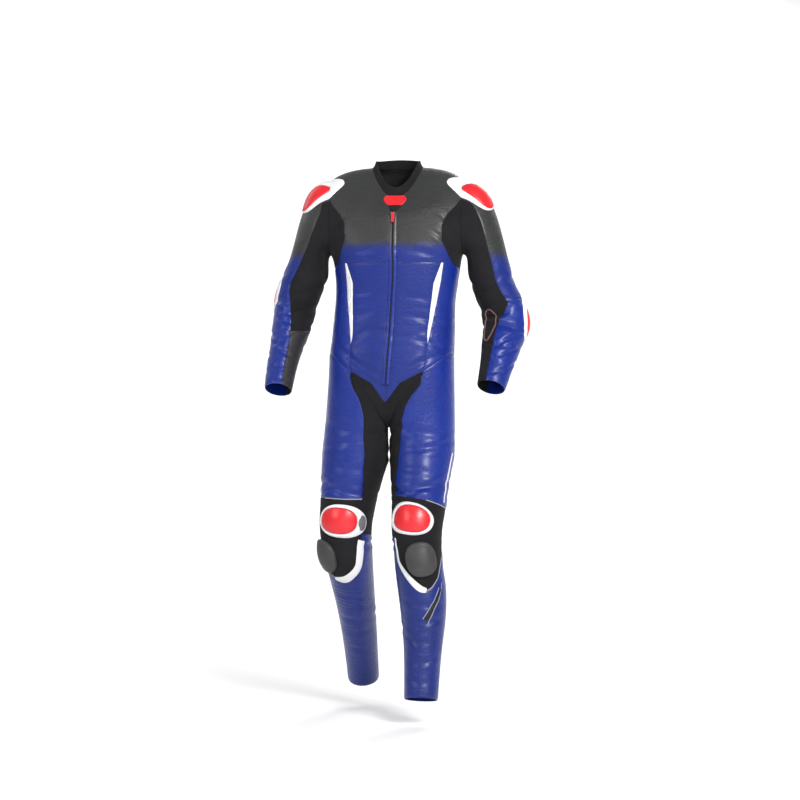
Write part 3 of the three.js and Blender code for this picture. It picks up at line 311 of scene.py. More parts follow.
# Creases of the cloth: where the middle lies (across the front or back, or the angle on a limb, and the
# height), how far it turns from level, its half length and half width, its depth and how much it bows.
CREASES = {
    "front": [
        # armpit drags, shoulder to chest
        (-148, -150, 52, 44, 6, 3.2, 4), (-132, -178, 44, 36, 6, 2.4, 3), (150, -150, -50, 44, 6, 3.2, -4),
        (128, -186, -40, 34, 6, 2.2, -3),
        # chest and waist
        (-60, -216, 12, 55, 8, 1.8, 6), (66, -222, -10, 58, 8, 1.8, -5),
        (-78, -330, 8, 50, 7, 2.6, 5), (72, -345, -9, 46, 7, 2.4, -4), (-96, -392, 14, 52, 7, 3.0, 5),
        (88, -402, -16, 50, 7, 3.2, -6), (-40, -432, -6, 44, 7, 2.0, -4), (34, -446, 8, 48, 7, 2.2, 4),
        (-110, -452, 20, 46, 7, 3.0, 6), (98, -466, -20, 44, 7, 2.8, -5),
        # hips towards the point of the seam
        (-92, -520, -32, 60, 8, 3.4, 6), (58, -524, 30, 56, 8, 3.2, -6), (-62, -560, -38, 46, 7, 2.6, 4),
        (30, -566, 36, 40, 7, 2.4, -4),
    ],
    "back": [
        (-140, -140, -40, 46, 7, 2.8, 5), (142, -150, 42, 46, 7, 2.8, -5), (-60, -250, 6, 70, 9, 2.2, 6),
        (70, -268, -8, 66, 9, 2.2, -5), (-30, -330, 3, 90, 8, 2.8, 6), (40, -362, -4, 84, 8, 3.2, -5),
        (-70, -398, 8, 60, 7, 2.6, 5), (50, -424, -7, 60, 7, 2.6, -5), (-84, -500, -24, 60, 8, 2.8, 5),
        (44, -508, 26, 58, 8, 2.8, -5), (-60, -590, -40, 50, 8, 3.2, 6), (16, -596, 42, 50, 8, 3.2, -6),
        (0, -60, 2, 80, 8, 1.8, -5),
    ],
    "right_arm": [
        (80, -300, 18, 34, 7, 3.0, 4), (120, -322, 30, 40, 6, 3.6, 5), (60, -352, -14, 40, 6, 2.6, -4),
        (110, -378, 22, 42, 6, 3.4, 5), (84, -404, -10, 40, 6, 3.2, 4), (120, -432, 16, 40, 6, 3.2, -4),
        (70, -462, 12, 34, 5, 2.4, 4), (110, -492, -14, 36, 5, 2.8, 4), (80, -526, 10, 32, 5, 2.4, -3),
        (120, -556, 12, 30, 5, 2.2, 3), (10, -280, 24, 38, 8, 2.2, 4), (20, -440, -18, 36, 6, 2.6, 4),
        (0, -500, 14, 34, 5, 2.6, -4), (30, -545, -10, 30, 5, 2.2, 4), *ARM_BACK,
    ],
    "left_arm": [
        (84, -296, -18, 34, 7, 3.0, 4), (124, -326, -30, 40, 6, 3.6, -5), (60, -350, 14, 40, 6, 2.6, 4),
        (100, -388, -22, 42, 6, 3.6, 5), (78, -420, 12, 46, 6, 4.0, 5), (60, -452, -20, 42, 6, 3.8, -5),
        (96, -470, 10, 40, 5, 3.2, 4), (50, -492, -16, 36, 5, 3.2, 4), (100, -510, 14, 36, 5, 2.8, -4),
        (70, -540, -12, 32, 5, 2.6, 3), (110, -560, 10, 30, 5, 2.2, 3), (10, -290, -24, 38, 8, 2.2, 4),
        (20, -470, 18, 36, 6, 3.2, 4), (0, -520, -14, 34, 5, 2.6, -4), (30, -555, 10, 30, 5, 2.2, 4),
        *other_way(ARM_BACK),
    ],
    "right_leg": [
        (86, -700, -14, 60, 9, 3.2, 6), (70, -730, 10, 56, 8, 2.6, -5), (100, -800, -8, 56, 9, 2.2, 5),
        (74, -846, 10, 52, 8, 3.2, -5), (104, -866, -12, 50, 7, 3.6, 5), (150, -700, 24, 60, 8, 3.2, 6),
        (150, -860, -18, 44, 7, 3.0, 4), (20, -840, 12, 50, 8, 2.6, 5), (284, -975, -8, 50, 7, 3.8, -4),
        (258, -1006, 6, 50, 7, 4.0, 4), (280, -1040, -10, 48, 7, 3.4, 4), (90, -1150, -8, 40, 6, 3.0, 4),
        (100, -1180, 8, 40, 6, 2.8, -4), (80, -1214, -8, 38, 6, 2.8, 4), (100, -1252, 8, 36, 6, 2.4, 4),
        (86, -1300, -8, 34, 6, 2.2, -3), (260, -1150, 12, 40, 7, 2.8, 4), (270, -1240, -10, 38, 7, 2.6, 4),
        (190, -1200, 12, 36, 7, 2.2, 4), *LEG_BACK,
    ],
    "left_leg": [
        (92, -700, 14, 60, 9, 3.0, 6), (70, -742, -12, 58, 8, 3.0, 5), (104, -800, 10, 56, 9, 2.6, -5),
        (74, -846, -16, 54, 8, 3.4, 5), (110, -862, 14, 52, 7, 3.8, -5), (128, -878, -20, 44, 6, 3.8, 5),
        (150, -700, -24, 60, 8, 3.0, 6), (150, -850, 18, 44, 7, 3.2, 4), (20, -840, -12, 50, 8, 2.6, 5),
        (284, -985, 8, 50, 7, 3.8, -4), (258, -1016, -6, 50, 7, 4.0, 4), (280, -1050, 10, 48, 7, 3.4, 4),
        (90, -1152, 8, 44, 7, 2.6, 4), (70, -1196, -10, 42, 7, 2.4, -4), (104, -1246, 10, 40, 7, 2.6, 4),
        (80, -1300, -8, 36, 7, 2.4, 3), (100, -1350, 8, 34, 6, 2.2, 3), (260, -1170, -12, 40, 7, 2.8, 4),
        (270, -1250, 10, 38, 7, 2.6, 4), (190, -1220, -12, 36, 7, 2.2, 4), *other_way(LEG_BACK),
    ],
}
# A limb's rough radius, the swell beside a crease (its depth, place and width as shares), and over how many
# rows of points the creases begin on a limb and on the trunk
CREASE_RADIUS = 62
SWELL_DEPTH, SWELL_AT, SWELL_WIDE = 0.45, 1.9, 0.9
LIMB_START, TRUNK_START = 8, 1.5


def crease_depth(name, across, tall):
    """How far the creases press the sheet in, with a low swell on both sides of each."""
    total = np.zeros_like(across)
    for middle, z, turn, half, wide, depth, bow in CREASES[name]:
        aside = across - middle
        if name in LIMBS:
            aside = np.radians((aside + 180) % 360 - 180) * CREASE_RADIUS
        up = tall - z
        cos, sin = cos_sin(turn)
        along, off = aside * cos + up * sin, up * cos - aside * sin
        share = (off - bow * (along / half) ** 2) / wide
        trough = bell(share) - SWELL_DEPTH * bell((np.abs(share) - SWELL_AT) / SWELL_WIDE)
        total += depth * trough * bell(along / half)
    return total


def press_creases():
    pressed, weight = np.zeros(len(P)), np.zeros(len(P))
    for name, area in areas.items():
        grid = area["grid"]
        across, tall = P[grid][..., 0], P[grid][..., 2]
        begun = (rows - FOOT) / TRUNK_START
        if name in LIMBS:
            across, begun = area["angles"], np.arange(len(grid)) / LIMB_START
        depth = crease_depth(name, across, tall) * smoothstep(begun)[:, None]
        np.add.at(pressed, grid.ravel(), depth.ravel())
        np.add.at(weight, grid.ravel(), 1.0)
    return pressed / np.maximum(weight, 1)


P -= N * press_creases()[:, None]
N = sheet_normals()

# Columns of a piece's points: place (and its normal in 3 to 5), cosine and sine of the angle on a limb, and
# the cloth's own measures across and along it
PX, PZ, COS, SIN, UA, VA = 0, 2, 6, 7, 8, 9


def area_mesh(name):
    area = areas[name]
    grid = area["grid"]
    spots = P[grid]
    side = np.linalg.norm(np.diff(spots, axis=1), axis=2)
    down = np.linalg.norm(np.diff(spots, axis=0), axis=2)
    u = np.concatenate([np.zeros((grid.shape[0], 1)), np.cumsum(side, 1)], 1)
    u -= u[:, u.shape[1] // 2][:, None]
    v = np.concatenate([np.zeros((1, grid.shape[1])), np.cumsum(down, 0)], 0)
    v = np.repeat(v.mean(1, keepdims=True), grid.shape[1], 1)
    angle = np.radians(area["angles"]) if name in LIMBS else np.zeros(grid.shape)
    extra = np.stack([np.cos(angle), np.sin(angle), u, v], -1)
    points = np.concatenate([spots, N[grid], extra], -1).reshape(-1, 10)
    local = np.arange(grid.size).reshape(grid.shape)
    a, b, c, d = corners(local)
    tri = np.concatenate([np.stack([a, b, c], 1), np.stack([a, c, d], 1)])
    return points, tri if area["turn"] > 0 else tri[:, ::-1]


def compact(points, tri):
    used, index = np.unique(tri, return_inverse=True)
    return points[used], index.reshape(-1, 3)


# A level nearer to nought than CLOSE counts as above it, and points within WELD_STEP are one
CLOSE, WELD_STEP = 1e-5, 2e-3


def cut_edges(points, tri, value):
    """Which points lie above nought, how many corners of each triangle do, and what a cut there makes:
    the corners of cut triangles, lone one first, the new points, and which of them each triangle takes."""
    value = np.where(np.abs(value) < CLOSE, CLOSE, value)
    above = value > 0
    count = above[tri].sum(1)
    is_cut = (count == 1) | (count == 2)
    mixed = tri[is_cut]
    if not len(mixed):
        return above, count, None
    first = (above[mixed] == (count[is_cut] == 1)[:, None]).argmax(1)
    a, b, c = (mixed[np.arange(len(mixed)), (first + k) % 3] for k in range(3))
    edges = np.sort(np.concatenate([np.stack([a, b], 1), np.stack([a, c], 1)]), 1)
    keys, index = np.unique(edges, axis=0, return_inverse=True)
    p, q = keys.T
    t = (value[p] / (value[p] - value[q]))[:, None]
    return above, count, (a, b, c, points[p] + t * (points[q] - points[p]), index.ravel())


def split(mesh, level):
    """The parts of a mesh where level is above nought, and where it isn't."""
    points, tri = mesh
    above, count, cut = cut_edges(points, tri, np.asarray(level(points), float))
    if cut is None:
        return compact(points, tri[count == 3]), compact(points, tri[count == 0])
    a, b, c, made, index = cut
    made[:, 3:6] = unit(made[:, 3:6])
    ab, ac = np.split(index + len(points), 2)
    points = np.concatenate([points, made])
    tips = np.stack([a, ab, ac], 1)
    rests = np.stack([np.stack([ab, b, c], 1), np.stack([ab, c, ac], 1)], 1)
    up = above[a]
    inside = np.concatenate([tri[count == 3], tips[up], rests[~up].reshape(-1, 3)])
    outside = np.concatenate([tri[count == 0], tips[~up], rests[up].reshape(-1, 3)])
    return compact(points, inside), compact(points, outside)


def join(*meshes):
    points, tri, start = [], [], 0
    for p, t in meshes:
        points.append(p)
        tri.append(t + start)
        start += len(p)
    return np.concatenate(points), np.concatenate(tri)


def weld(mesh):
    points, tri = mesh
    keys = np.round(points[:, :3] / WELD_STEP).astype(np.int64)
    _, first, index = np.unique(keys, axis=0, return_index=True, return_inverse=True)
    tri = proper(index.ravel()[tri])
    _, once = np.unique(np.sort(tri, 1), axis=0, return_index=True)
    return compact(points[first], tri[np.sort(once)])


sheets = {name: area_mesh(name) for name in areas}
pieces = dict(sheets)


def part(piece, name, level):
    inside, outside = split(pieces[piece], level)
    if len(inside[1]):
        pieces[name] = join(pieces[name], inside) if name in pieces else inside
    pieces[piece] = outside


def middle_at(z):
    return along_line(TRUNK[:, [0, 8]], z)


def across_trunk(p):
    return p[:, PX] - middle_at(p[:, PZ])


# Seams
CHEST_SEAM, SEAT_SEAM, CROTCH_SEAM, ZIP_HALF, ZIP_FOOT, LEG_CORNER = -252, -400, -652, 9, -578, 97
UNDERARM_LINE = [(-70, 184), (-100, 163), (-123, 142), (-151, 130), (-192, 130), (-220, 141), (-253, 156),
                 (-275, 182)]
FLANK_LINE = [(-252, 132), (-350, 120), (-466, 103), (-560, 98)]
STRIPE_WIDTH = [(-252, 5), (-306, 17), (-350, 14), (-440, 7), (-466, 0), (-480, -4)]
POINTED_SEAM = [(0, -622), (8, -614), (19, -598), (38, -571), (67, -556), (97, -540), (119, -525),
                (143, -504), (180, -480)]
ELBOW_SEAM, FOREARM_SEAM = -345, -430
OUTER_SEAM_ANGLE, KNEE_HALF_ANGLE, SHIN_HALF_ANGLE = 12, 125, 104
# The seam between each limb's outer and inner cloth: z angle
SEAMS = {
    "right_arm": [(-85, 42), (-125, 62), (-160, 74), (-200, 77), (-235, 70), (-300, 62), (-335, 72),
                  (-368, 86), (-400, 98), (-470, 111), (-590, 114)],
    "left_arm": [(-85, 42), (-122, 52), (-145, 57), (-180, 66), (-220, 72), (-300, 75), (-330, 70),
                 (-352, 66), (-372, 80), (-400, 102), (-430, 107), (-590, 112)],
    "right_leg": [(-540, 87), (-573, 90), (-592, 95), (-608, 101), (-629, 105), (-660, 109), (-722, 109),
                  (-802, 117), (-880, 128)],
    "left_leg": [(-540, 84), (-574, 86), (-604, 102), (-629, 112), (-669, 120), (-722, 125), (-772, 131),
                 (-828, 140), (-880, 144)],
}
# The edges of each knee panel: angle z
KNEE_TOP_SEAM = {
    "right_leg": [(0, -877), (90, -881), (130, -882), (270, -880), (360, -877)],
    "left_leg": [(0, -905), (14, -902), (70, -879), (102, -871), (140, -868), (215, -874), (290, -890),
                 (360, -905)],
}
KNEE_FOOT_SEAM = {
    "right_leg": [(0, -1032), (16, -1046), (37, -1078), (52, -1092), (66, -1101), (84, -1101), (107, -1087),
                  (124, -1064), (130, -1036), (133, -1003), (136, -974), (215, -985), (270, -1080),
                  (330, -1060), (360, -1032)],
    "left_leg": [(0, -1020), (15, -1038), (37, -1083), (60, -1108), (76, -1117), (89, -1110), (107, -1089),
                 (125, -1064), (140, -1037), (144, -1006), (147, -976), (215, -985), (270, -1090),
                 (330, -1060), (360, -1020)],
}
# Turns the cosine of an angle on a limb into a rough distance
LIMB_RADIUS = 60


def cut_collar():
    """The collar's foot is a row of the sheet, so the rows above it are taken whole."""
    halves = []
    for name in ("front", "back"):
        points, tri = sheets[name]
        row = tri.min(1) // (2 * HALF_COLUMNS + 1)
        halves.append(compact(points, tri[row < COLLAR_ROWS]))
        pieces[name] = compact(points, tri[row >= COLLAR_ROWS])
    pieces["collar"] = join(*halves)


def cut_trunk():
    def half(p):
        return np.abs(across_trunk(p))

    part("front", "chest", lambda p: p[:, PZ] - CHEST_SEAM)
    for piece in ("chest", "front"):
        part(piece, "underarm", lambda p: half(p) - along_line(UNDERARM_LINE, p[:, PZ]))
    for piece in ("chest", "front"):
        part(piece, "main_zip", lambda p: np.minimum(ZIP_HALF - half(p), p[:, PZ] - ZIP_FOOT))
    part("front", "flank", lambda p: half(p) - along_line(FLANK_LINE, p[:, PZ]))
    part("front", "stripe", lambda p: half(p) - along_line(FLANK_LINE, p[:, PZ])
         + along_line(STRIPE_WIDTH, p[:, PZ]))
    for piece in ("front", "flank"):
        part(piece, "gusset", lambda p: along_line(POINTED_SEAM, half(p)) - p[:, PZ])
    for side, out in (("left", 1), ("right", -1)):
        part("gusset", f"thigh_front_{side}", lambda p: out * across_trunk(p) - LEG_CORNER)
    part("back", "seat", lambda p: SEAT_SEAM - p[:, PZ])
    part("seat", "gusset", lambda p: CROTCH_SEAM - p[:, PZ])
    for piece in ("chest", "front", "stripe", "flank", "underarm"):
        part(piece, f"{piece}_left", across_trunk)
        pieces[f"{piece}_right"] = pieces.pop(piece)


def cut_limb(name):
    side, kind = name.split("_")

    def inner(p):
        return (np.cos(np.radians(along_line(SEAMS[name], p[:, PZ]))) - p[:, COS]) * LIMB_RADIUS

    def under(lines):
        def level(p):
            angle = np.degrees(np.arctan2(p[:, SIN], p[:, COS])) % 360
            return along_line(lines[name], angle) - p[:, PZ]
        return level

    def behind(angle):
        return lambda p: (math.cos(math.radians(angle)) - p[:, SIN]) * LIMB_RADIUS

    def outer_back(p):
        cos, sin = cos_sin(OUTER_SEAM_ANGLE)
        return -(p[:, SIN] * cos + p[:, COS] * sin) * LIMB_RADIUS

    if kind == "arm":
        part(name, f"inner_sleeve_{side}", inner)
        part(name, f"sleeve_lower_{side}", lambda p: ELBOW_SEAM - p[:, PZ])
        part(f"inner_sleeve_{side}", f"inner_forearm_{side}", lambda p: FOREARM_SEAM - p[:, PZ])
        pieces[f"sleeve_upper_{side}"] = pieces.pop(name)
        return
    part(name, f"inner_leg_{side}", inner)
    part(name, f"thigh_back_{side}", outer_back)
    for piece in (name, f"inner_leg_{side}", f"thigh_back_{side}"):
        part(piece, f"knee_panel_{side}", under(KNEE_TOP_SEAM))
    part(f"knee_panel_{side}", f"shin_{side}", under(KNEE_FOOT_SEAM))
    part(f"knee_panel_{side}", f"knee_back_{side}", behind(KNEE_HALF_ANGLE))
    part(f"shin_{side}", f"calf_{side}", behind(SHIN_HALF_ANGLE))
    pieces[f"thigh_front_{side}"] = join(pieces[f"thigh_front_{side}"], pieces.pop(name))


cut_collar()
cut_trunk()
for limb_name in LIMBS:
    cut_limb(limb_name)
pieces = {name: weld(mesh) for name, mesh in pieces.items() if len(mesh[1])}

# Shells: thickness, the groove beside each seam with its shoulder, how far seams, stretch cloth and the zip's
# tape lie below the sheet, and how far leather swells above it and over what run
LEATHER_THICK, STRETCH_THICK = 1.8, 1.6
GROOVE, GROOVE_SHOULDER = 3.2, 1.3
SUNK, STRETCH_SUNK, PILLOW, PILLOW_RUN = 0.9, 0.25, 0.7, 14
# The column of a point's distance to its piece's rim
D = 10
STRETCHY = ("inner", "underarm", "knee_back", "knee_panel", "gusset", "collar")


def is_stretch(name):
    return name.startswith(STRETCHY)


def rim_edges(tri):
    edges = np.concatenate([tri[:, [0, 1]], tri[:, [1, 2]], tri[:, [2, 0]]])
    _, index, count = np.unique(np.sort(edges, 1), axis=0, return_inverse=True, return_counts=True)
    return edges[count[index.ravel()] == 1]


def rim_distance(points, tri):
    edges = rim_edges(tri)
    samples = np.concatenate([points[edges[:, 0], :3] * (1 - t) + points[edges[:, 1], :3] * t
                              for t in (0, 0.33, 0.67)])
    tree = KDTree(len(samples))
    for i, spot in enumerate(samples):
        tree.insert(spot, i)
    tree.balance()
    return np.array([tree.find(spot)[2] for spot in points[:, :3]])


def with_rim(mesh):
    """The mesh with each point's distance to its rim, and rows of points along the groove's shoulder."""
    points, tri = mesh
    points = np.concatenate([points, rim_distance(points, tri)[:, None]], 1)
    for at in (GROOVE, GROOVE_SHOULDER):
        points, tri = weld(join(*[m for m in split((points, tri), lambda p: p[:, D] - at) if len(m[1])]))
    return points, tri


def lift_of(name, distance):
    """How far the outer face stands off the sheet: pillowed leather, sunk seams, flat stretch cloth."""
    edge = 1 - smoothstep(distance / GROOVE)
    if name == "main_zip":
        return np.full_like(edge, -SUNK)
    if is_stretch(name):
        return -SUNK * edge - STRETCH_SUNK
    return PILLOW * smoothstep(distance / PILLOW_RUN) - SUNK * edge


def new_object(name, mesh):
    obj = bpy.data.objects.new(name, mesh)
    bpy.context.scene.collection.objects.link(obj)
    return obj


def build(name, points, faces, uv=None, tint=None, crisp=42):
    mesh = bpy.data.meshes.new(name)
    mesh.from_pydata((np.asarray(points) * 0.001).tolist(), [], [list(map(int, f)) for f in faces])
    mesh.polygons.foreach_set("use_smooth", [True] * len(mesh.polygons))
    mesh.set_sharp_from_angle(angle=math.radians(crisp))
    corner = np.zeros(len(mesh.loops), int)
    mesh.loops.foreach_get("vertex_index", corner)
    if uv is not None:
        layer = mesh.uv_layers.new(name="cloth")
        layer.data.foreach_set("uv", (np.asarray(uv)[corner] * 0.001).ravel())
    if tint is not None:
        colour = mesh.color_attributes.new("tint", "FLOAT_COLOR", "POINT")
        colour.data.foreach_set("color", np.concatenate([tint, np.ones((len(tint), 1))], 1).ravel())
    mesh.update()
    return new_object(name, mesh)


def shell(name, mesh, outer, thick, tint):
    points, tri = mesh
    count = len(points)
    top = points[:, :3] + points[:, 3:6] * outer[:, None]
    under = top - points[:, 3:6] * thick
    rim = rim_edges(tri)
    a, b = rim.T
    walls = np.concatenate([np.stack([b, a, a + count], 1), np.stack([b, a + count, b + count], 1)])
    faces = np.concatenate([tri, tri[:, ::-1] + count, walls])
    uv = np.concatenate([points[:, [UA, VA]]] * 2)
    colours = None if tint is None else np.concatenate([tint] * 2)
    return build(name, np.concatenate([top, under]), faces, uv, colours)


def contour(mesh, at):
    """Chains of places on the mesh, with their normals, at one distance from the rim."""
    points, tri = mesh
    _, _, cut = cut_edges(points, tri, points[:, D] - at)
    if cut is None:
        return []
    _, _, _, made, index = cut
    spots = made[:, :6]
    links = {}
    for one, two in zip(*np.split(index, 2)):
        links.setdefault(one, []).append(two)
        links.setdefault(two, []).append(one)
    chains, seen = [], set()
    ends = [k for k, v in links.items() if len(v) == 1]
    for start in ends + list(links):
        if start in seen:
            continue
        chain, here = [start], start
        seen.add(start)
        while True:
            onward = [k for k in links[here] if k not in seen]
            if not onward:
                break
            here = onward[0]
            seen.add(here)
            chain.append(here)
        if len(chain) > 2:
            if chain[0] in links[chain[-1]]:
                chain.append(chain[0])
            chains.append(spots[chain])
    return chains


def resample(chain, step):
    length = np.concatenate([[0], np.cumsum(np.linalg.norm(np.diff(chain[:, :3], axis=0), axis=1))])
    if length[-1] < 2 * step:
        return None
    at = np.arange(0.0, length[-1], step)
    return np.stack([np.interp(at, length, column) for column in chain.T], 1)


STITCH_PITCH, STITCH_LONG, STITCH_WIDE, STITCH_TALL = 4.0, 2.9, 0.9, 0.55
STITCH_SINK, STITCH_SLOPE = 0.15, 0.5
STITCH_FACES = [[0, 2, 1], [3, 4, 5], [0, 3, 5], [0, 5, 2], [1, 2, 5], [1, 5, 4], [0, 1, 4], [0, 4, 3]]


def repeated(pattern, count, size):
    """The faces of count equal bodies of size points each."""
    pattern = np.array(pattern)
    return (np.arange(count)[:, None, None] * size + pattern).reshape(-1, pattern.shape[1])


def stitches(chains, stand):
    """Short threads along the chains: three-sided, with closed ends."""
    evens = [even for even in (resample(chain, STITCH_PITCH) for chain in chains)
             if even is not None and len(even) > 3]
    if not evens:
        return np.zeros((0, 3)), np.zeros((0, 3), int)
    c, n = np.concatenate(evens)[:, :3], unit(np.concatenate(evens)[:, 3:6])
    w = np.concatenate([unit(np.gradient(even[:, :3], axis=0)) for even in evens])
    side = unit(np.cross(n, w))
    ends = []
    for sign in (-1, 1):
        base = c + w * sign * STITCH_LONG / 2 + n * (stand - STITCH_SINK)
        ends += [base - side * STITCH_WIDE / 2, base + side * STITCH_WIDE / 2,
                 base - w * sign * STITCH_SLOPE + n * STITCH_TALL]
    return np.stack(ends, 1).reshape(-1, 3), repeated(STITCH_FACES, len(c), 6)


CORD_SIDES = 8


def ring_faces(count, sides, closed):
    """Faces between rings of points: closed joins the last ring to the first, and else both ends get lids."""
    i, k = np.meshgrid(np.arange(count if closed else count - 1), np.arange(sides), indexing="ij")
    j, l = (i + 1) % count, (k + 1) % sides
    faces = np.stack([i * sides + k, i * sides + l, j * sides + l, j * sides + k], -1).reshape(-1, 4).tolist()
    if not closed:
        faces += [list(range(sides))[::-1], [(count - 1) * sides + q for q in range(sides)]]
    return faces


def rings_to_shell(rings, closed=False):
    return np.concatenate(rings), ring_faces(len(rings), len(rings[0]), closed)


def tube(chain, radius, stand):
    """A round cord along a chain of places, closed at both ends or joined in a ring."""
    spots = chain[:, :3] + unit(chain[:, 3:6]) * stand
    normal = unit(chain[:, 3:6])
    ring = np.linalg.norm(spots[0] - spots[-1]) < 1e-6
    if ring:
        spots, normal = spots[:-1], normal[:-1]
        way = unit(np.roll(spots, -1, 0) - np.roll(spots, 1, 0))
    else:
        way = unit(np.gradient(spots, axis=0))
    side = unit(np.cross(normal, way))
    normal = np.cross(way, side)
    turn = np.linspace(0, 2 * math.pi, CORD_SIDES, endpoint=False)[None, :, None]
    points = spots[:, None] + radius * (np.cos(turn) * side[:, None] + np.sin(turn) * normal[:, None])
    return points.reshape(-1, 3), ring_faces(len(spots), CORD_SIDES, ring)


def merged(parts):
    points, faces, start = [], [], 0
    for p, f in parts:
        if len(p):
            points.append(p)
            faces += [[int(k) + start for k in face] for face in f]
            start += len(p)
    return np.concatenate(points), faces


# Finishes
# The shins' blue is a darker blue leather, made darker still as painted shade
BLUE, SHIN_BLUE_AND_SHADE, CHARCOAL = (0.0040, 0.019, 0.195), (0.005, 0.016, 0.145), (0.031, 0.031, 0.031)
BLACK, COLLAR_BLACK, WHITE = (0.0095, 0.009, 0.0105), (0.010, 0.010, 0.011), (0.74, 0.74, 0.75)
RED, PUCK_GREY, PIPING = (0.66, 0.010, 0.018), (0.034, 0.033, 0.033), (0.13, 0.055, 0.045)
DARK_THREAD, LIGHT_EDGE = (0.008, 0.008, 0.014), (0.30, 0.30, 0.32)
FOREARM_GREY, FLAP_BLACK = (0.022, 0.022, 0.024), (0.012, 0.012, 0.014)


class Finish:
    """A material and a short way to add its nodes."""

    def __init__(self, name):
        self.material = bpy.data.materials.new(name)
        self.material.use_nodes = True
        self.nodes = self.material.node_tree.nodes
        self.links = self.material.node_tree.links
        self.surface = self.nodes["Principled BSDF"]
        self.place = self.nodes.new("ShaderNodeTexCoord").outputs

    def node(self, kind, settings=None, **inputs):
        node = self.nodes.new("ShaderNode" + kind)
        for key, value in (settings or {}).items():
            setattr(node, key, value)
        for key, value in inputs.items():
            self.put(node, key, value)
        return node

    def put(self, node, key, value):
        socket = node.inputs[int(key[1:]) if key[0] == "_" else key.replace("_", " ")]
        if isinstance(value, bpy.types.NodeSocket):
            self.links.new(value, socket)
        else:
            socket.default_value = value

    def set(self, **inputs):
        for key, value in inputs.items():
            self.put(self.surface, key, value)

    def math(self, operation, a, b):
        return self.node("Math", {"operation": operation}, _0=a, _1=b).outputs[0]

    def noise(self, scale, detail, stretch=(1, 1, 1)):
        mapping = self.node("Mapping", None, Vector=self.place["Object"], Scale=stretch)
        return self.node("TexNoise", None, Vector=mapping.outputs[0], Scale=scale,
                         Detail=detail).outputs[0]

    def spread(self, value, low, high, to_low=0.0, to_high=1.0):
        return self.node("MapRange", None, Value=value, From_Min=low, From_Max=high, To_Min=to_low,
                         To_Max=to_high).outputs[0]

    def mix(self, share, a, b, kind="MIX"):
        node = self.nodes.new("ShaderNodeMix")
        node.data_type = "RGBA"
        node.blend_type = kind
        for index, value in ((0, share), (6, a), (7, b)):
            if isinstance(value, tuple) and len(value) == 3:
                value = (*value, 1.0)
            if isinstance(value, bpy.types.NodeSocket):
                self.links.new(value, node.inputs[index])
            else:
                node.inputs[index].default_value = value
        return node.outputs[2]

    def bump(self, height, distance, strength, under=None):
        node = self.node("Bump", None, Height=height, Distance=distance, Strength=strength)
        if under is not None:
            self.links.new(under, node.inputs["Normal"])
        return node.outputs[0]


def shaded(colour, share):
    """A colour made darker or lighter, up to white."""
    return tuple(min(c * share, 1) for c in colour)


def leather(name, coat, rough, holes=0.0, painted_sheen=0.0):
    """Leather in its points' colour: fine grain, soft wrinkles, wear and, if asked, a painted sheen and small
    holes.
    """
    f = Finish(name)
    tint = f.node("VertexColor", {"layer_name": "tint"}).outputs[0]
    cloudy = f.spread(f.noise(9, 4), 0.3, 0.7, 0.90, 1.10)
    cloud = f.node("CombineColor", None, _0=cloudy, _1=cloudy, _2=cloudy).outputs[0]
    colour = f.mix(1.0, tint, cloud, "MULTIPLY")
    grain = f.node("TexVoronoi", {"feature": "DISTANCE_TO_EDGE"}, Vector=f.place["Object"],
                   Scale=780.0).outputs[0]
    grain = f.spread(grain, 0.0, 0.25)
    folds = f.noise(70, 3, stretch=(1, 1, 2.2))
    normal = f.bump(folds, 0.0022, 0.75)
    normal = f.bump(grain, 0.00022, 0.5, normal)
    # Each hole is painted near-black: the dark lining seen through it, with painted shade inside it
    if holes:
        turned = f.node("Mapping", None, Vector=f.place["UV"], Rotation=(0, 0, math.pi / 4))
        dots = f.node("TexVoronoi", {"feature": "F1"}, Vector=turned.outputs[0], Scale=1000 / 4.6,
                      Randomness=0.0).outputs[0]
        hole = f.spread(dots, 0.17, 0.24, 1.0, 0.0)
        colour = f.mix(f.math("MULTIPLY", hole, holes), colour, (0.004, 0.004, 0.007))
        normal = f.bump(hole, -0.0006, 0.8, normal)
    # Painted sheen: towards grazing view the base colour turns lighter, standing in for the sheen on the
    # leather
    if painted_sheen:
        glance = f.node("LayerWeight", None, Blend=0.42).outputs["Facing"]
        facing = f.spread(glance, 0.0, 0.9, 0.0, painted_sheen)
        colour = f.mix(facing, colour, f.mix(1.0, colour, (1.5, 1.7, 1.6), "MULTIPLY"))
    scuff = f.spread(f.noise(24, 5), 0.35, 0.75, rough - 0.06, rough + 0.14)
    f.set(Base_Color=colour, Roughness=scuff, Normal=normal, Coat_Weight=coat, Coat_Roughness=0.26,
          Specular_IOR_Level=0.26)
    return f.material


def stretch_cloth(name, colour, pitch=3.4, ribs=0.5):
    """Knitted stretch cloth: fine ribs across it, a dull face and a little fluff."""
    f = Finish(name)
    rib = f.node("TexWave", {"wave_type": "BANDS", "bands_direction": "Y"},
                 Vector=f.place["UV"], Scale=500 / pitch, Distortion=0.6, Detail=1.0).outputs["Fac"]
    knit = f.node("TexVoronoi", {"feature": "F1"}, Vector=f.place["UV"], Scale=620.0,
                  Randomness=0.35).outputs[0]
    shade = f.mix(f.spread(f.noise(12, 3), 0.35, 0.7), shaded(colour, 0.8), shaded(colour, 1.35))
    shade = f.mix(f.spread(rib, 0.0, 1.0, 0.0, 0.35), shade, shaded(colour, 1.9))
    normal = f.bump(f.noise(60, 3), 0.0016, 0.6)
    normal = f.bump(rib, 0.0009 * ribs * 2, 0.7, normal)
    normal = f.bump(knit, 0.0002, 0.5, normal)
    f.set(Base_Color=shade, Roughness=0.82, Normal=normal, Sheen_Weight=0.03, Sheen_Roughness=0.5,
          Specular_IOR_Level=0.15)
    return f.material


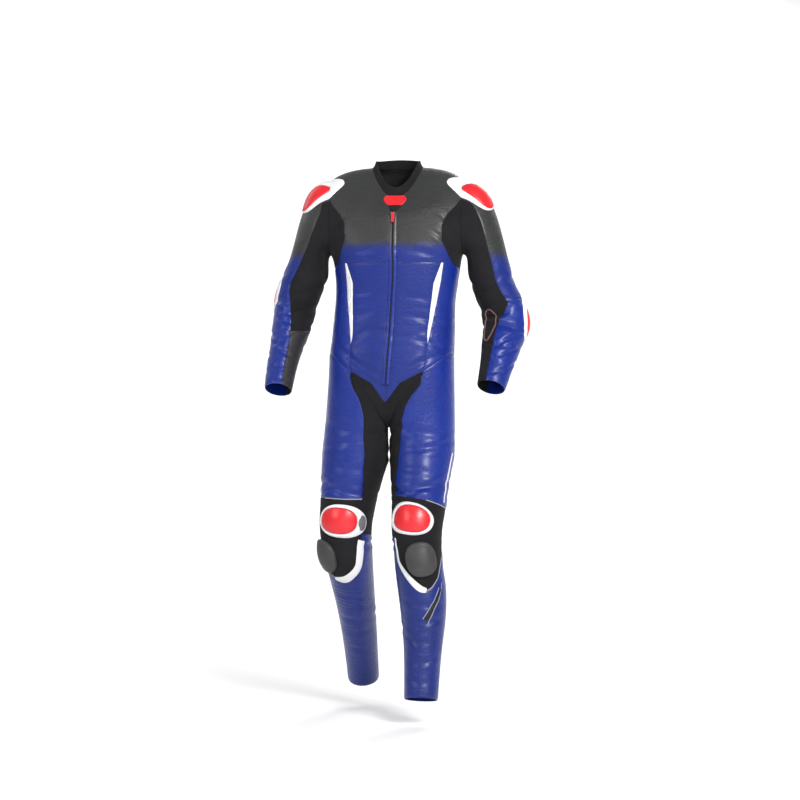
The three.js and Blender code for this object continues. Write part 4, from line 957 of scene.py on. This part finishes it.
def moulded(name, colour, rough, scuffs, coat=0.0, worn=None):
    """Moulded plastic: smooth, with fine speckle and directionless scuffs."""
    f = Finish(name)
    marks = f.spread(f.noise(90, 6, stretch=(1, 1, 1.6)), 0.52, 0.68)
    cloud = f.spread(f.noise(18, 3), 0.3, 0.7)
    shade = f.mix(cloud, shaded(colour, 0.93), shaded(colour, 1.05))
    if worn:
        shade = f.mix(f.math("MULTIPLY", marks, scuffs), shade, worn)
    normal = f.bump(f.noise(900, 2), 0.00012, 0.5)
    normal = f.bump(marks, -0.0002, scuffs, normal)
    f.set(Base_Color=shade, Roughness=f.spread(marks, 0, 1, rough, min(rough + 0.2, 1)), Normal=normal,
          Coat_Weight=coat, Coat_Roughness=0.2, Specular_IOR_Level=0.5)
    return f.material


def steel(name):
    f = Finish(name)
    brushed = f.noise(300, 4, stretch=(1, 1, 8))
    f.set(Base_Color=f.mix(brushed, (0.30, 0.31, 0.33), (0.50, 0.51, 0.53)), Metallic=1.0,
          Roughness=f.spread(brushed, 0.3, 0.7, 0.26, 0.44), Normal=f.bump(brushed, 0.0001, 0.4))
    return f.material


def thread(name, colour):
    f = Finish(name)
    twist = f.noise(1400, 2)
    f.set(Base_Color=f.mix(twist, shaded(colour, 0.6), shaded(colour, 1.4)),
          Roughness=0.6, Normal=f.bump(twist, 0.0002, 0.6), Sheen_Weight=0.2)
    return f.material


MATERIALS = {
    "blue": leather("blue_leather", coat=0.28, rough=0.34, painted_sheen=0.5),
    "holed": leather("perforated_leather", holes=0.85, coat=0.20, rough=0.38, painted_sheen=0.4),
    "plain": leather("plain_leather", coat=0.08, rough=0.5),
    "stretch": stretch_cloth("black_stretch", BLACK),
    "collar": stretch_cloth("collar_knit", COLLAR_BLACK, pitch=2.2, ribs=0.35),
    "tape": stretch_cloth("zip_tape", BLACK, pitch=1.6, ribs=0.3),
    "white_cup": moulded("white_cup", (0.78, 0.78, 0.80), 0.3, 0.25, 0.3, worn=(0.45, 0.45, 0.46)),
    "red_insert": moulded("red_insert", RED, 0.36, 0.25, 0.2, worn=(0.45, 0.02, 0.02)),
    "puck": moulded("knee_slider_plastic", PUCK_GREY, 0.55, 0.35, 0.0, worn=(0.07, 0.07, 0.072)),
    "grey": moulded("grey_insert", (0.12, 0.12, 0.13), 0.5, 0.4, 0.0, worn=(0.2, 0.2, 0.2)),
    "pull": moulded("red_pull", RED, 0.45, 0.3, 0.0, worn=(0.4, 0.02, 0.02)),
    "metal": steel("zip_metal"),
    "teeth": moulded("zip_teeth_plastic", (0.02, 0.02, 0.022), 0.35, 0.2),
    "piping": thread("brown_piping", PIPING),
    "light": thread("light_piping", LIGHT_EDGE),
    "dark_thread": thread("dark_thread", DARK_THREAD),
}

# The height over which each kind of panel turns from charcoal to blue, and the colour of the others: dye,
# with painted shade in the shins' blue
FADES = {"chest": (-222, -192), "back": (-222, -192), "sleeve": (-252, -214)}
DYES = {"stripe": WHITE, "inner": FOREARM_GREY, "shin": SHIN_BLUE_AND_SHADE, "calf": SHIN_BLUE_AND_SHADE}
DYED = ("blue", "holed", "plain")
# The material and slot of each panel, by how its name starts: the first line that fits counts
LOOKS = {
    "collar": ("collar", "collar_knit"), "main_zip": ("tape", "zip_tape"),
    "inner_forearm_right": ("plain", "black_stretch"),
    STRETCHY: ("stretch", "black_stretch"),
    ("chest", "sleeve_upper"): ("holed", "charcoal_leather"),
    ("back", "front"): ("holed", "blue_leather"),
    "stripe": ("plain", "white_leather"),
    ("shin", "calf"): ("blue", "shin_leather"),
    "": ("blue", "blue_leather"),
}
# Where the seams of each kind of panel are sewn; the others are the trunk's
REGIONS = {"sleeve": "arms", "thigh": "legs", "shin": "legs", "calf": "legs"}
SEWN_AT = 5.0


def tint_of(name, points):
    """The colour of each point (dye, with painted shade in the shins' blue), and a wavering line where
    charcoal turns to blue.
    """
    kind = name.split("_")[0]
    colours = np.tile(DYES.get(kind, BLUE), (len(points), 1))
    if kind in FADES:
        low, high = FADES[kind]
        wander = 1.5 * np.sin(points[:, PX] * 0.05) + np.sin(points[:, PX] * 0.13 + 1.3)
        share = smoothstep((points[:, PZ] + wander - low) / (high - low))[:, None]
        colours = colours * (1 - share) + np.array(CHARCOAL) * share
    return colours


def finish_piece(obj, material, node):
    obj.data.materials.append(MATERIALS[material])
    if node:
        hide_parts(node)
    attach(obj, "suit")


def add_piece(name, mesh, material, node=None, colour=None, crisp=42):
    """A piece from its points and faces; colour is one for all of it, or one for each point."""
    points, faces = mesh
    tint = None if colour is None else np.broadcast_to(colour, (len(points), 3))
    finish_piece(build(name, points, faces, tint=tint, crisp=crisp), material, node)


# Panels
shown = {}


def make_panels():
    sewing = {"trunk": [], "arms": [], "legs": []}
    for name, mesh in pieces.items():
        points, tri = with_rim(mesh)
        material, slot = next(look for start, look in LOOKS.items() if name.startswith(start))
        thick = STRETCH_THICK if is_stretch(name) else LEATHER_THICK
        tint = tint_of(name, points) if material in DYED else None
        obj = shell(f"{name}_cloth", (points, tri), lift_of(name, points[:, D]), thick, tint)
        finish_piece(obj, material, name)
        shown[name] = (obj, points, tri)
        if name != "main_zip" and not is_stretch(name):
            threads = stitches(contour((points, tri), SEWN_AT), float(lift_of(name, SEWN_AT)))
            sewing[REGIONS.get(name.split("_")[0], "trunk")].append(threads)
    for place, parts in sewing.items():
        add_piece(f"stitches_{place}", merged(parts), "dark_thread")


make_panels()

# What lies on the panels
FACING_FRONT = np.array([0.0, -1.0, 0.0])
ACROSS, UPWARD = np.array([1.0, 0.0, 0.0]), np.array([0.0, 0.0, 1.0])
FINE_STEPS = 600


def tree_of(names):
    points, tri = join(*[sheets[name] for name in names])
    return BVHTree.FromPolygons(points[:, :3].tolist(), tri.tolist())


def cast(tree, spots, facing, reach=120):
    """Where lines against facing meet the sheet; a line that misses takes the nearest place."""
    found = []
    for spot in spots:
        hit = tree.ray_cast(Vector(spot) + Vector(facing) * reach, Vector(-facing))[0]
        found.append(tuple(hit if hit is not None else tree.find_nearest(Vector(spot))[0]))
    return np.array(found)


def laid(tree, middle, beside, up, facing, outline, profile, closed=False):
    """A moulded piece that follows the cloth: profile runs from its outer foot over the top, as the share of
    the outline and the height over the cloth. closed is for a frame with an open middle."""
    shares = sorted({share for share, _ in profile})
    grid = np.array([cast(tree, middle + u[:, None] * beside + v[:, None] * up, facing)
                     for u, v in map(outline, shares)])
    around = np.roll(grid, -1, 1) - np.roll(grid, 1, 1)
    normal = unit(np.cross(around, np.gradient(grid, axis=0)))
    normal *= np.sign((normal * facing).sum(-1, keepdims=True))
    normal = unit(normal + 0.25 * facing)
    for _ in range(3):
        normal = unit(np.roll(normal, 1, 1) + 2 * normal + np.roll(normal, -1, 1))
    if not closed:
        normal[0] = unit(normal[0].mean(0))
    rings = []
    for share, tall in profile:
        ring = shares.index(share)
        rings.append(grid[ring] + normal[ring] * tall)
    return rings_to_shell(rings, closed)


OVAL_POWER, OVAL_SIDES, POLYGON_SIDES = 2.4, 96, 72


def superellipse(wide, high):
    turn = np.linspace(0, 2 * math.pi, OVAL_SIDES, endpoint=False)
    c, s = np.cos(turn), np.sin(turn)
    reach = 1 / (np.abs(c) ** OVAL_POWER + np.abs(s) ** OVAL_POWER) ** (1 / OVAL_POWER)
    return lambda share: (wide * share * c * reach, high * share * s * reach)


def rounded_polygon(corners, soft=2.5):
    """An outline of straight edges with soft corners, as a function of its share."""
    corners = np.array(corners, float)
    spots = []
    for before, here, after in zip(np.roll(corners, 1, 0), corners, np.roll(corners, -1, 0)):
        start = here + unit(before - here) * soft
        end = here + unit(after - here) * soft
        for t in np.linspace(0, 1, 5):
            spots.append((1 - t) ** 2 * start + 2 * t * (1 - t) * here + t**2 * end)
    spots = np.array(spots + [spots[0]])
    length = np.concatenate([[0], np.cumsum(np.linalg.norm(np.diff(spots, axis=0), axis=1))])
    at = np.linspace(0, length[-1], POLYGON_SIDES, endpoint=False)
    u, v = (np.interp(at, length, spots[:, k]) for k in (0, 1))
    mid = corners.mean(0)
    return lambda share: (mid[0] + (u - mid[0]) * share, mid[1] + (v - mid[1]) * share)


def turned(vector, axis, angle):
    c, s = cos_sin(angle)
    return vector * c + np.cross(axis, vector) * s + axis * (axis * vector).sum() * (1 - c)


def limb_levels(limb):
    """Fine steps along a limb, and the height of its middle at each."""
    rows = LIMBS[limb]["rows"]
    steps = np.linspace(0, len(rows) - 1, FINE_STEPS)
    return steps, row_at(rows, steps)[:, 2]


def frame_on_limb(limb, z, angle, turn):
    """Where a moulded piece sits: its middle, and the ways beside it, up it and out of the cloth."""
    steps, levels = limb_levels(limb)
    row, along, outward, forward = limb_frame(limb, np.interp(-z, -levels, steps))
    c, s = cos_sin(angle)
    facing = outward * c + forward * s
    middle = row[:3] + outward * row[3] * c + forward * row[4] * s
    up = turned(-along, facing, turn)
    return middle, np.cross(up, facing), up, facing


# The middle of each shoulder cup, and how far it leans outwards and to the front
SHOULDER_AT, SHOULDER_LEAN, SHOULDER_FRONT = (219.0, -24.0, -50.0), 52, 26


def frame_on_shoulder(out):
    lean = math.radians(SHOULDER_LEAN)
    facing = turned(np.array([out * math.sin(lean), 0, math.cos(lean)]), ACROSS, SHOULDER_FRONT)
    up = -out * ACROSS
    up = unit(up - facing * (up * facing).sum())
    return np.array([out, 1, 1]) * SHOULDER_AT, np.cross(up, facing), up, facing


# Profiles of the moulded pieces: share of the outline, height over the cloth
CUP_PROFILE = [(1.0, 0.3), (1.0, 1.4), (0.992, 2.3), (0.975, 2.9), (0.95, 3.2), (0.92, 3.9), (0.88, 5.0),
               (0.84, 6.0), (0.80, 6.5), (0.76, 6.5), (0.73, 6.0), (0.71, 5.2), (0.70, 4.2), (0.69, 2.2),
               (0.68, 0.3)]
INSERT_PROFILE = [(0.675, 0.3), (0.675, 3.4), (0.665, 4.6), (0.64, 5.6), (0.60, 6.3), (0.52, 7.2),
                  (0.42, 8.2), (0.30, 9.2), (0.18, 9.9), (0.08, 10.2), (0.01, 10.3)]
THIN_CUP_PROFILE = [(1.0, 0.3), (1.0, 1.2), (0.985, 2.2), (0.96, 2.8), (0.90, 3.6), (0.84, 4.4), (0.78, 4.8),
                    (0.73, 4.6), (0.71, 3.8), (0.70, 2.4), (0.69, 0.3)]
THIN_INSERT_PROFILE = [(0.685, 0.3), (0.685, 3.0), (0.67, 4.2), (0.62, 5.0), (0.50, 6.0), (0.34, 7.0),
                       (0.18, 7.7), (0.06, 8.0), (0.01, 8.0)]
PUCK_PROFILE = [(1.0, 0.3), (1.0, 6.0), (0.99, 8.4), (0.965, 10.2), (0.93, 11.4), (0.88, 12.4), (0.80, 13.6),
                (0.775, 13.5), (0.76, 13.9), (0.66, 15.4), (0.52, 17.0), (0.36, 18.3), (0.20, 19.1),
                (0.08, 19.4), (0.01, 19.5)]
PLATE_PROFILE = [(1.0, 3.0), (1.0, 5.6), (0.94, 6.3), (0.80, 6.6), (0.30, 6.9), (0.01, 6.9)]
BADGE_PROFILE = [(1.0, 0.3), (1.0, 1.5), (0.985, 2.2), (0.96, 2.5), (0.90, 2.5), (0.88, 2.2), (0.86, 2.2),
                 (0.4, 2.3), (0.01, 2.3)]
FLAP_PROFILE = [(1.0, 0.3), (1.0, 1.1), (0.97, 1.6), (0.9, 1.7), (0.4, 1.7), (0.01, 1.7)]

# limb z angle turn, then wide high taper share aside below as in the solids
CUPS = {
    "knee_cup_right": ("right_leg", -943, 88, -2, 61, 44, 0, 0.78, -8, 0),
    "knee_cup_left": ("left_leg", -947, 102, -11, 57, 43, 0, 0.82, 3, 0),
    "elbow_cup_right": ("right_arm", -338, -8, 0, 36, 60, 0, 0.62, 0, 14),
    "elbow_cup_left": ("left_arm", -400, -6, 0, 36, 66, 0, 0.62, 0, 14),
}
SHOULDER_CUP = dict(wide=42, high=68, taper=0.42, share=0.68, aside=6, below=17)
KNEE_PLATE = dict(aside=50, wide=8, high=20)
PUCKS = {"knee_slider_right": ("right_leg", -1016, 36, 0, 40, 46),
         "knee_slider_left": ("left_leg", -1039, 78, 8, 37, 46)}
# The share of a cup's outline where its opening is
OPENING = 0.68


def cup_outline(wide, high, taper, share, aside, below):
    """The cup's own outline at 1, its insert's at OPENING, and even steps between them and further in."""
    def oval(wide, high):
        u, v = superellipse(wide, high)(1.0)
        return np.stack([u * (1 - taper * v / high), v])
    outer, inner = oval(wide, high), oval(wide * share, high * share)
    centre = np.array([[aside], [-below]], float)

    def at(reach):
        if reach <= OPENING:
            return centre + inner * reach / OPENING
        t = (reach - OPENING) / (1 - OPENING)
        return (centre + inner) * (1 - t) + outer * t
    return at


def make_cup(name, tree, spot, sizes):
    thick = name.startswith("knee")
    outline = cup_outline(*sizes)
    cup = laid(tree, *spot, outline, CUP_PROFILE if thick else THIN_CUP_PROFILE, closed=True)
    add_piece(f"{name}_shell", cup, "white_cup", name)
    plate = laid(tree, *spot, outline, INSERT_PROFILE if thick else THIN_INSERT_PROFILE)
    insert = name.replace("cup", "insert")
    add_piece(f"{insert}_plate", plate, "red_insert", insert)


def make_cups():
    for name, (limb, z, angle, turn, *sizes) in CUPS.items():
        make_cup(name, tree_of([limb]), frame_on_limb(limb, z, angle, turn), sizes)
    for side, out in (("right", -1), ("left", 1)):
        sizes = {**SHOULDER_CUP, "aside": -out * SHOULDER_CUP["aside"]}
        make_cup(f"shoulder_cup_{side}", tree_of(["front", "back", f"{side}_arm"]), frame_on_shoulder(out),
                 sizes.values())
    middle, beside, up, facing = frame_on_limb("right_leg", *CUPS["knee_cup_right"][1:4])
    middle = middle + beside * KNEE_PLATE["aside"]
    oval = superellipse(KNEE_PLATE["wide"], KNEE_PLATE["high"])
    plate = laid(tree_of(["right_leg"]), middle, beside, up, facing, oval, PLATE_PROFILE)
    add_piece("knee_plate_right", plate, "grey")
    for name, (limb, z, angle, turn, wide, high) in PUCKS.items():
        spot = frame_on_limb(limb, z, angle, turn)
        puck = laid(tree_of([limb]), *spot, superellipse(wide, high), PUCK_PROFILE)
        add_piece(f"{name}_puck", puck, "puck", name)


make_cups()

front_tree = tree_of(["front"])
# The badge at the neck and the flap below it: x z
BADGE_LINE = [(-25, -72), (-31, -80), (-29, -88), (-19, -99), (19, -99), (29, -88), (31, -80), (25, -72)]
FLAP_LINE = [(-18, -100.4), (-15, -105), (-4, -115), (4, -115), (15, -105), (18, -100.4)]
BADGE_MIDDLE = np.array([3.0, 0, 0])


def make_badge():
    spot = (BADGE_MIDDLE, ACROSS, UPWARD, FACING_FRONT)
    badge = laid(front_tree, *spot, rounded_polygon(BADGE_LINE), BADGE_PROFILE)
    add_piece("neck_badge_plate", badge, "red_insert", "neck_badge")
    flap = laid(front_tree, *spot, rounded_polygon(FLAP_LINE, soft=1.6), FLAP_PROFILE)
    add_piece("zip_flap_cloth", flap, "plain", "zip_flap", FLAP_BLACK)


make_badge()


def smooth_route(route, per_step=14):
    return row_at(np.array(route, float), np.linspace(0, len(route) - 1, per_step * len(route)))


def trace(tree, limb, angles, heights):
    """Places on a limb's cloth at these angles and heights, with the cloth's normals there."""
    steps, levels = limb_levels(limb)
    aim = heights.copy()
    for _ in range(5):
        at = np.interp(-aim, -levels, steps)
        places = limb_point(limb, at, angles)
        aim += heights - places[:, 2]
    centres = row_at(LIMBS[limb]["rows"], at)[:, :3]
    found = []
    for place, outer in zip(places, unit(places - centres)):
        spot, normal, _, _ = tree.find_nearest(Vector(place))
        normal = np.array(normal)
        normal *= np.sign((normal * outer).sum()) or 1
        found.append([*spot, *unit(normal + outer)])
    return np.array(found)


def ribbon(limb, route, thick, around=66):
    """A strip of leather on a limb; the route's columns are angle z half, and around is a rough radius."""
    tree = tree_of([limb])
    path = smooth_route(route)
    flat = np.stack([np.radians(path[:, 0]) * around, path[:, 1]], 1)
    way = unit(np.gradient(flat, axis=0))
    aside = np.stack([-way[:, 1], way[:, 0]], 1) * path[:, 2:]
    rounded, crown = thick - 0.5, thick + 0.3
    profile = [(-1, 0.3), (-1, rounded), (-0.9, thick), (0, crown), (0.9, thick), (1, rounded), (1, 0.3)]
    columns = []
    for share, tall in profile[::-1]:
        spot = flat + aside * share
        found = trace(tree, limb, np.degrees(spot[:, 0] / around), spot[:, 1])
        columns.append(found[:, :3] + found[:, 3:] * tall)
    return rings_to_shell(list(np.stack(columns, 1)))


def cord_on_limb(limb, route, radius, stand):
    path = smooth_route(route, 10)
    return tube(trace(tree_of([limb]), limb, path[:, 0], path[:, 1]), radius, stand)


# Route of each pale band: angle z half
BANDS = {
    "right_leg": [(134, -991, 10), (131, -1005, 10), (127, -1036, 10), (121, -1062, 9), (106, -1083, 9),
                  (84, -1098, 9), (58, -1096, 4)],
    "left_leg": [(147, -980, 3), (144, -1006, 3), (140, -1037, 4), (126, -1062, 6), (107, -1088, 8),
                 (89, -1108, 9), (74, -1114, 6)],
}

# Strips that lie on the cloth: limb, colour, slot, rough radius of the limb, and the route: angle z half
STRIPS = {
    "thigh_stripe_left": ("left_leg", WHITE, "white_leather", 85,
                          [(16, -716, 1), (16, -760, 3), (17, -820, 4), (20, -888, 3)]),
    "thigh_stripe_right": ("right_leg", WHITE, "white_leather", 85,
                           [(16, -716, 1), (16, -760, 3), (17, -820, 4), (20, -872, 3)]),
    "shin_strip_left": ("left_leg", BLACK, "black_leather", 64,
                        [(33, -1112, 3), (48, -1138, 4), (64, -1166, 5), (79, -1191, 6)]),
}
# Routes of the grey cords beside the left shin's strip, and the loop on the left forearm
SHIN_CORDS = [[(27, -1096), (42, -1138), (58, -1168), (72, -1200)],
              [(40, -1108), (54, -1136), (70, -1163), (86, -1188)]]
ARM_LOOP = dict(angle=131, z=-416, aside=19, tall=42, lean=-0.12, points=17)
# The accordion ribs on the right shin: the first one's height, their pitch, count and ends
RIBS = dict(top=-1118, pitch=9.5, count=7, start=46, end=124, slope=0.16, sag=5)
# Radius of each kind of cord, and how far its middle stands over the cloth
SHIN_CORD, LOOP_CORD, RIB_CORD = (1.1, 0.5), (2.0, 0.8), (3.0, -1.3)


def loop_route():
    route = []
    for t in np.linspace(0, 2 * math.pi, ARM_LOOP["points"]):
        up = ARM_LOOP["tall"] * math.sin(t)
        angle = ARM_LOOP["angle"] + ARM_LOOP["aside"] * math.cos(t) + ARM_LOOP["lean"] * up
        route.append((angle, ARM_LOOP["z"] + up))
    return route


def rib_route(number):
    turn = np.linspace(0, 1, 9)
    angles = RIBS["start"] + turn * (RIBS["end"] - RIBS["start"])
    heights = RIBS["top"] - number * RIBS["pitch"] - RIBS["slope"] * (angles - RIBS["start"])
    return np.stack([angles, heights - RIBS["sag"] * np.sin(math.pi * turn)], 1)


def make_bands():
    for limb, route in BANDS.items():
        band = f"knee_band_{limb.split('_')[0]}"
        add_piece(f"{band}_strip", ribbon(limb, route, 1.6), "plain", band, WHITE)
    for name, (limb, colour, slot, around, route) in STRIPS.items():
        add_piece(name, ribbon(limb, route, 1.2, around), "plain", colour=colour)
    cords = merged([cord_on_limb("left_leg", route, *SHIN_CORD) for route in SHIN_CORDS])
    add_piece("shin_cords", cords, "light")
    loop = cord_on_limb("left_arm", loop_route(), *LOOP_CORD)
    add_piece("forearm_loop", loop, "piping")
    ribs = merged([cord_on_limb("right_leg", rib_route(k), *RIB_CORD) for k in range(RIBS["count"])])
    # The ribs take the shins' blue, partly painted shade
    add_piece("shin_ribs", ribs, "blue", colour=SHIN_BLUE_AND_SHADE)


make_bands()

# The zip: teeth down the tape, a leather welt on each side, the slider and its pull
ZIP_TOP, TOOTH_PITCH = -117, 2.6
# A welt's section: how far from the middle, and how high over the tape
WELT = [(2.0, 0.3), (2.0, 1.7), (2.8, 2.5), (4.6, 2.8), (7.0, 2.4), (9.0, 1.5), (10.4, 0.9), (10.4, 0.3)]
# The lower and upper face of a tooth: height over the tape, half width, half length
TOOTH = ((-0.2, 1.5, 0.95), (1.0, 1.2, 0.75))
TOOTH_ASIDE, TOOTH_SINK = 0.8, 0.2
TOOTH_FACES = [[3, 2, 1, 0], [4, 5, 6, 7], [0, 1, 5, 4], [1, 2, 6, 5], [2, 3, 7, 6], [3, 0, 4, 7]]
ZIP_REACH, METAL_BEVEL = 200, 0.0003


def make_zip():
    heights = np.arange(ZIP_TOP, ZIP_FOOT, -TOOTH_PITCH)
    spots = np.stack([middle_at(heights), np.zeros_like(heights), heights], 1)
    centre = cast(front_tree, spots, FACING_FRONT, ZIP_REACH)
    way = unit(np.gradient(centre, axis=0))
    out = unit(np.cross(way, np.tile(ACROSS, (len(way), 1))))
    out *= np.sign((out * FACING_FRONT).sum(1, keepdims=True))
    sign = np.where(np.arange(len(centre)) % 2, 1, -1)[:, None]
    middle = centre + ACROSS * sign * TOOTH_ASIDE - out * TOOTH_SINK
    places = [middle + ACROSS * a * wide + way * b * long + out * tall
              for tall, wide, long in TOOTH for a, b in ((-1, -1), (1, -1), (1, 1), (-1, 1))]
    teeth = np.stack(places, 1).reshape(-1, 3), repeated(TOOTH_FACES, len(centre), 8)
    add_piece("zip_teeth", teeth, "teeth", crisp=20)
    for name, side in (("right", -1), ("left", 1)):
        columns = []
        for off, tall in WELT[::side]:
            place = cast(front_tree, spots[::2] + ACROSS * side * off, FACING_FRONT, ZIP_REACH)
            columns.append(place + out[::2] * tall)
        welt = rings_to_shell(list(np.stack(columns, 1)[::-1]))
        add_piece(f"zip_welt_{name}", welt, "blue", colour=tint_of("chest", welt[0]))
    for name, material in (("zip_slider", "metal"), ("pull_tab", "pull")):
        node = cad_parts[name]
        node.data.materials.clear()
        node.data.materials.append(MATERIALS[material])
        bevel = node.modifiers.new("soft_edges", "BEVEL")
        bevel.width = METAL_BEVEL
        bevel.segments = 2


make_zip()


# Piping round the knees: panel, the height below which it is sewn in, radius, how far its middle stands out
PIPED = (("thigh_front", -878, 1.4, 0.3), ("knee_panel", -1010, 1.2, 0.2))
PIPED_AT, PIPING_STEP = 0.9, 4.0


def make_piping():
    """Pale cords sewn into the seams round each knee."""
    cords = []
    for name, below, radius, stand in [(f"{panel}_{side}", *rest) for side in ("left", "right")
                                       for panel, *rest in PIPED]:
        for chain in contour(shown[name][1:], PIPED_AT):
            good = chain[:, 2] < below
            for run in np.split(np.arange(len(chain)), np.where(~good)[0]):
                run = run[good[run]]
                even = resample(chain[run], PIPING_STEP) if len(run) > 4 else None
                if even is not None and len(even) > 3:
                    cords.append(tube(even, radius, stand))
    add_piece("knee_piping", merged(cords), "light")


make_piping()


# Floor, lights and camera, in metres: the floor's depth, its ends and the curve up to the wall
LOWEST, FLOOR_FRONT, FLOOR_BACK, CURVE, WALL_TOP, HALF_FLOOR, CURVE_STEPS = -1.47, -6.0, 2.6, 1.4, 5.0, 9, 24
FLOOR_COLOUR = (0.90, 0.90, 0.90)
# place, target, size, power
LIGHTS = {
    "key_light": ((2.3, -3.6, 1.4), (0, 0, -0.6), 1.4, 215),
    "fill_light": ((-2.8, -3.2, 1.0), (0, 0, -0.6), 2.0, 55),
    "rim_light": ((1.2, 3.2, 2.2), (0, 0, -0.6), 2.0, 80),
    "low_light": ((0.3, -4.4, -1.0), (0, 0, -0.6), 2.4, 14),
    "wall_light": ((-2.2, 1.0, 1.4), (-1.0, 4.0, 0.0), 2.0, 60),
}
ROOM_POWER = 0.32
CAMERA_TARGET, CAMERA_AWAY, CAMERA_TURN, CAMERA_LENS = Vector((0.008, 0.0, -0.616)), 5.5, 6, 91.7


def stand(obj, place, target):
    obj.location = place
    obj.rotation_euler = (Vector(target) - obj.location).to_track_quat("-Z", "Y").to_euler()


def make_floor():
    turn = np.linspace(0, math.pi / 2, CURVE_STEPS)
    side = [(FLOOR_FRONT, LOWEST)]
    side += [(FLOOR_BACK + CURVE * math.sin(t), LOWEST + CURVE * (1 - math.cos(t))) for t in turn]
    side.append((FLOOR_BACK + CURVE, WALL_TOP))
    points = np.array([(x, y, z) for x in (-HALF_FLOOR, HALF_FLOOR) for y, z in side]) * 1000
    count = len(side)
    floor = build("floor", points, [(i, i + 1, i + 1 + count, i + count) for i in range(count - 1)])
    f = Finish("pale_floor")
    colour = f.mix(f.noise(3, 2), shaded(FLOOR_COLOUR, 0.985), FLOOR_COLOUR)
    f.set(Base_Color=colour, Roughness=0.9, Specular_IOR_Level=0.2)
    floor.data.materials.append(f.material)


def make_stage():
    make_floor()
    for name, (place, target, size, power) in LIGHTS.items():
        light = bpy.data.lights.new(name, "AREA")
        light.energy = power
        light.size = size
        stand(new_object(name, light), place, target)
    world = bpy.data.worlds.new("soft_room")
    bpy.context.scene.world = world
    world.use_nodes = True
    world.node_tree.nodes["Background"].inputs[0].default_value = (1.0, 1.0, 1.0, 1.0)
    world.node_tree.nodes["Background"].inputs[1].default_value = ROOM_POWER
    camera = bpy.data.cameras.new("camera")
    camera.lens = CAMERA_LENS
    camera.sensor_width = 36
    camera.clip_end = 60
    holder = new_object("camera", camera)
    turn = math.radians(CAMERA_TURN)
    away = Vector((math.sin(turn), -math.cos(turn), 0))
    stand(holder, CAMERA_TARGET + CAMERA_AWAY * away, CAMERA_TARGET)
    bpy.context.scene.camera = holder
    bpy.context.scene.view_settings.view_transform = "Standard"


make_stage()
bpy.context.view_layer.update()
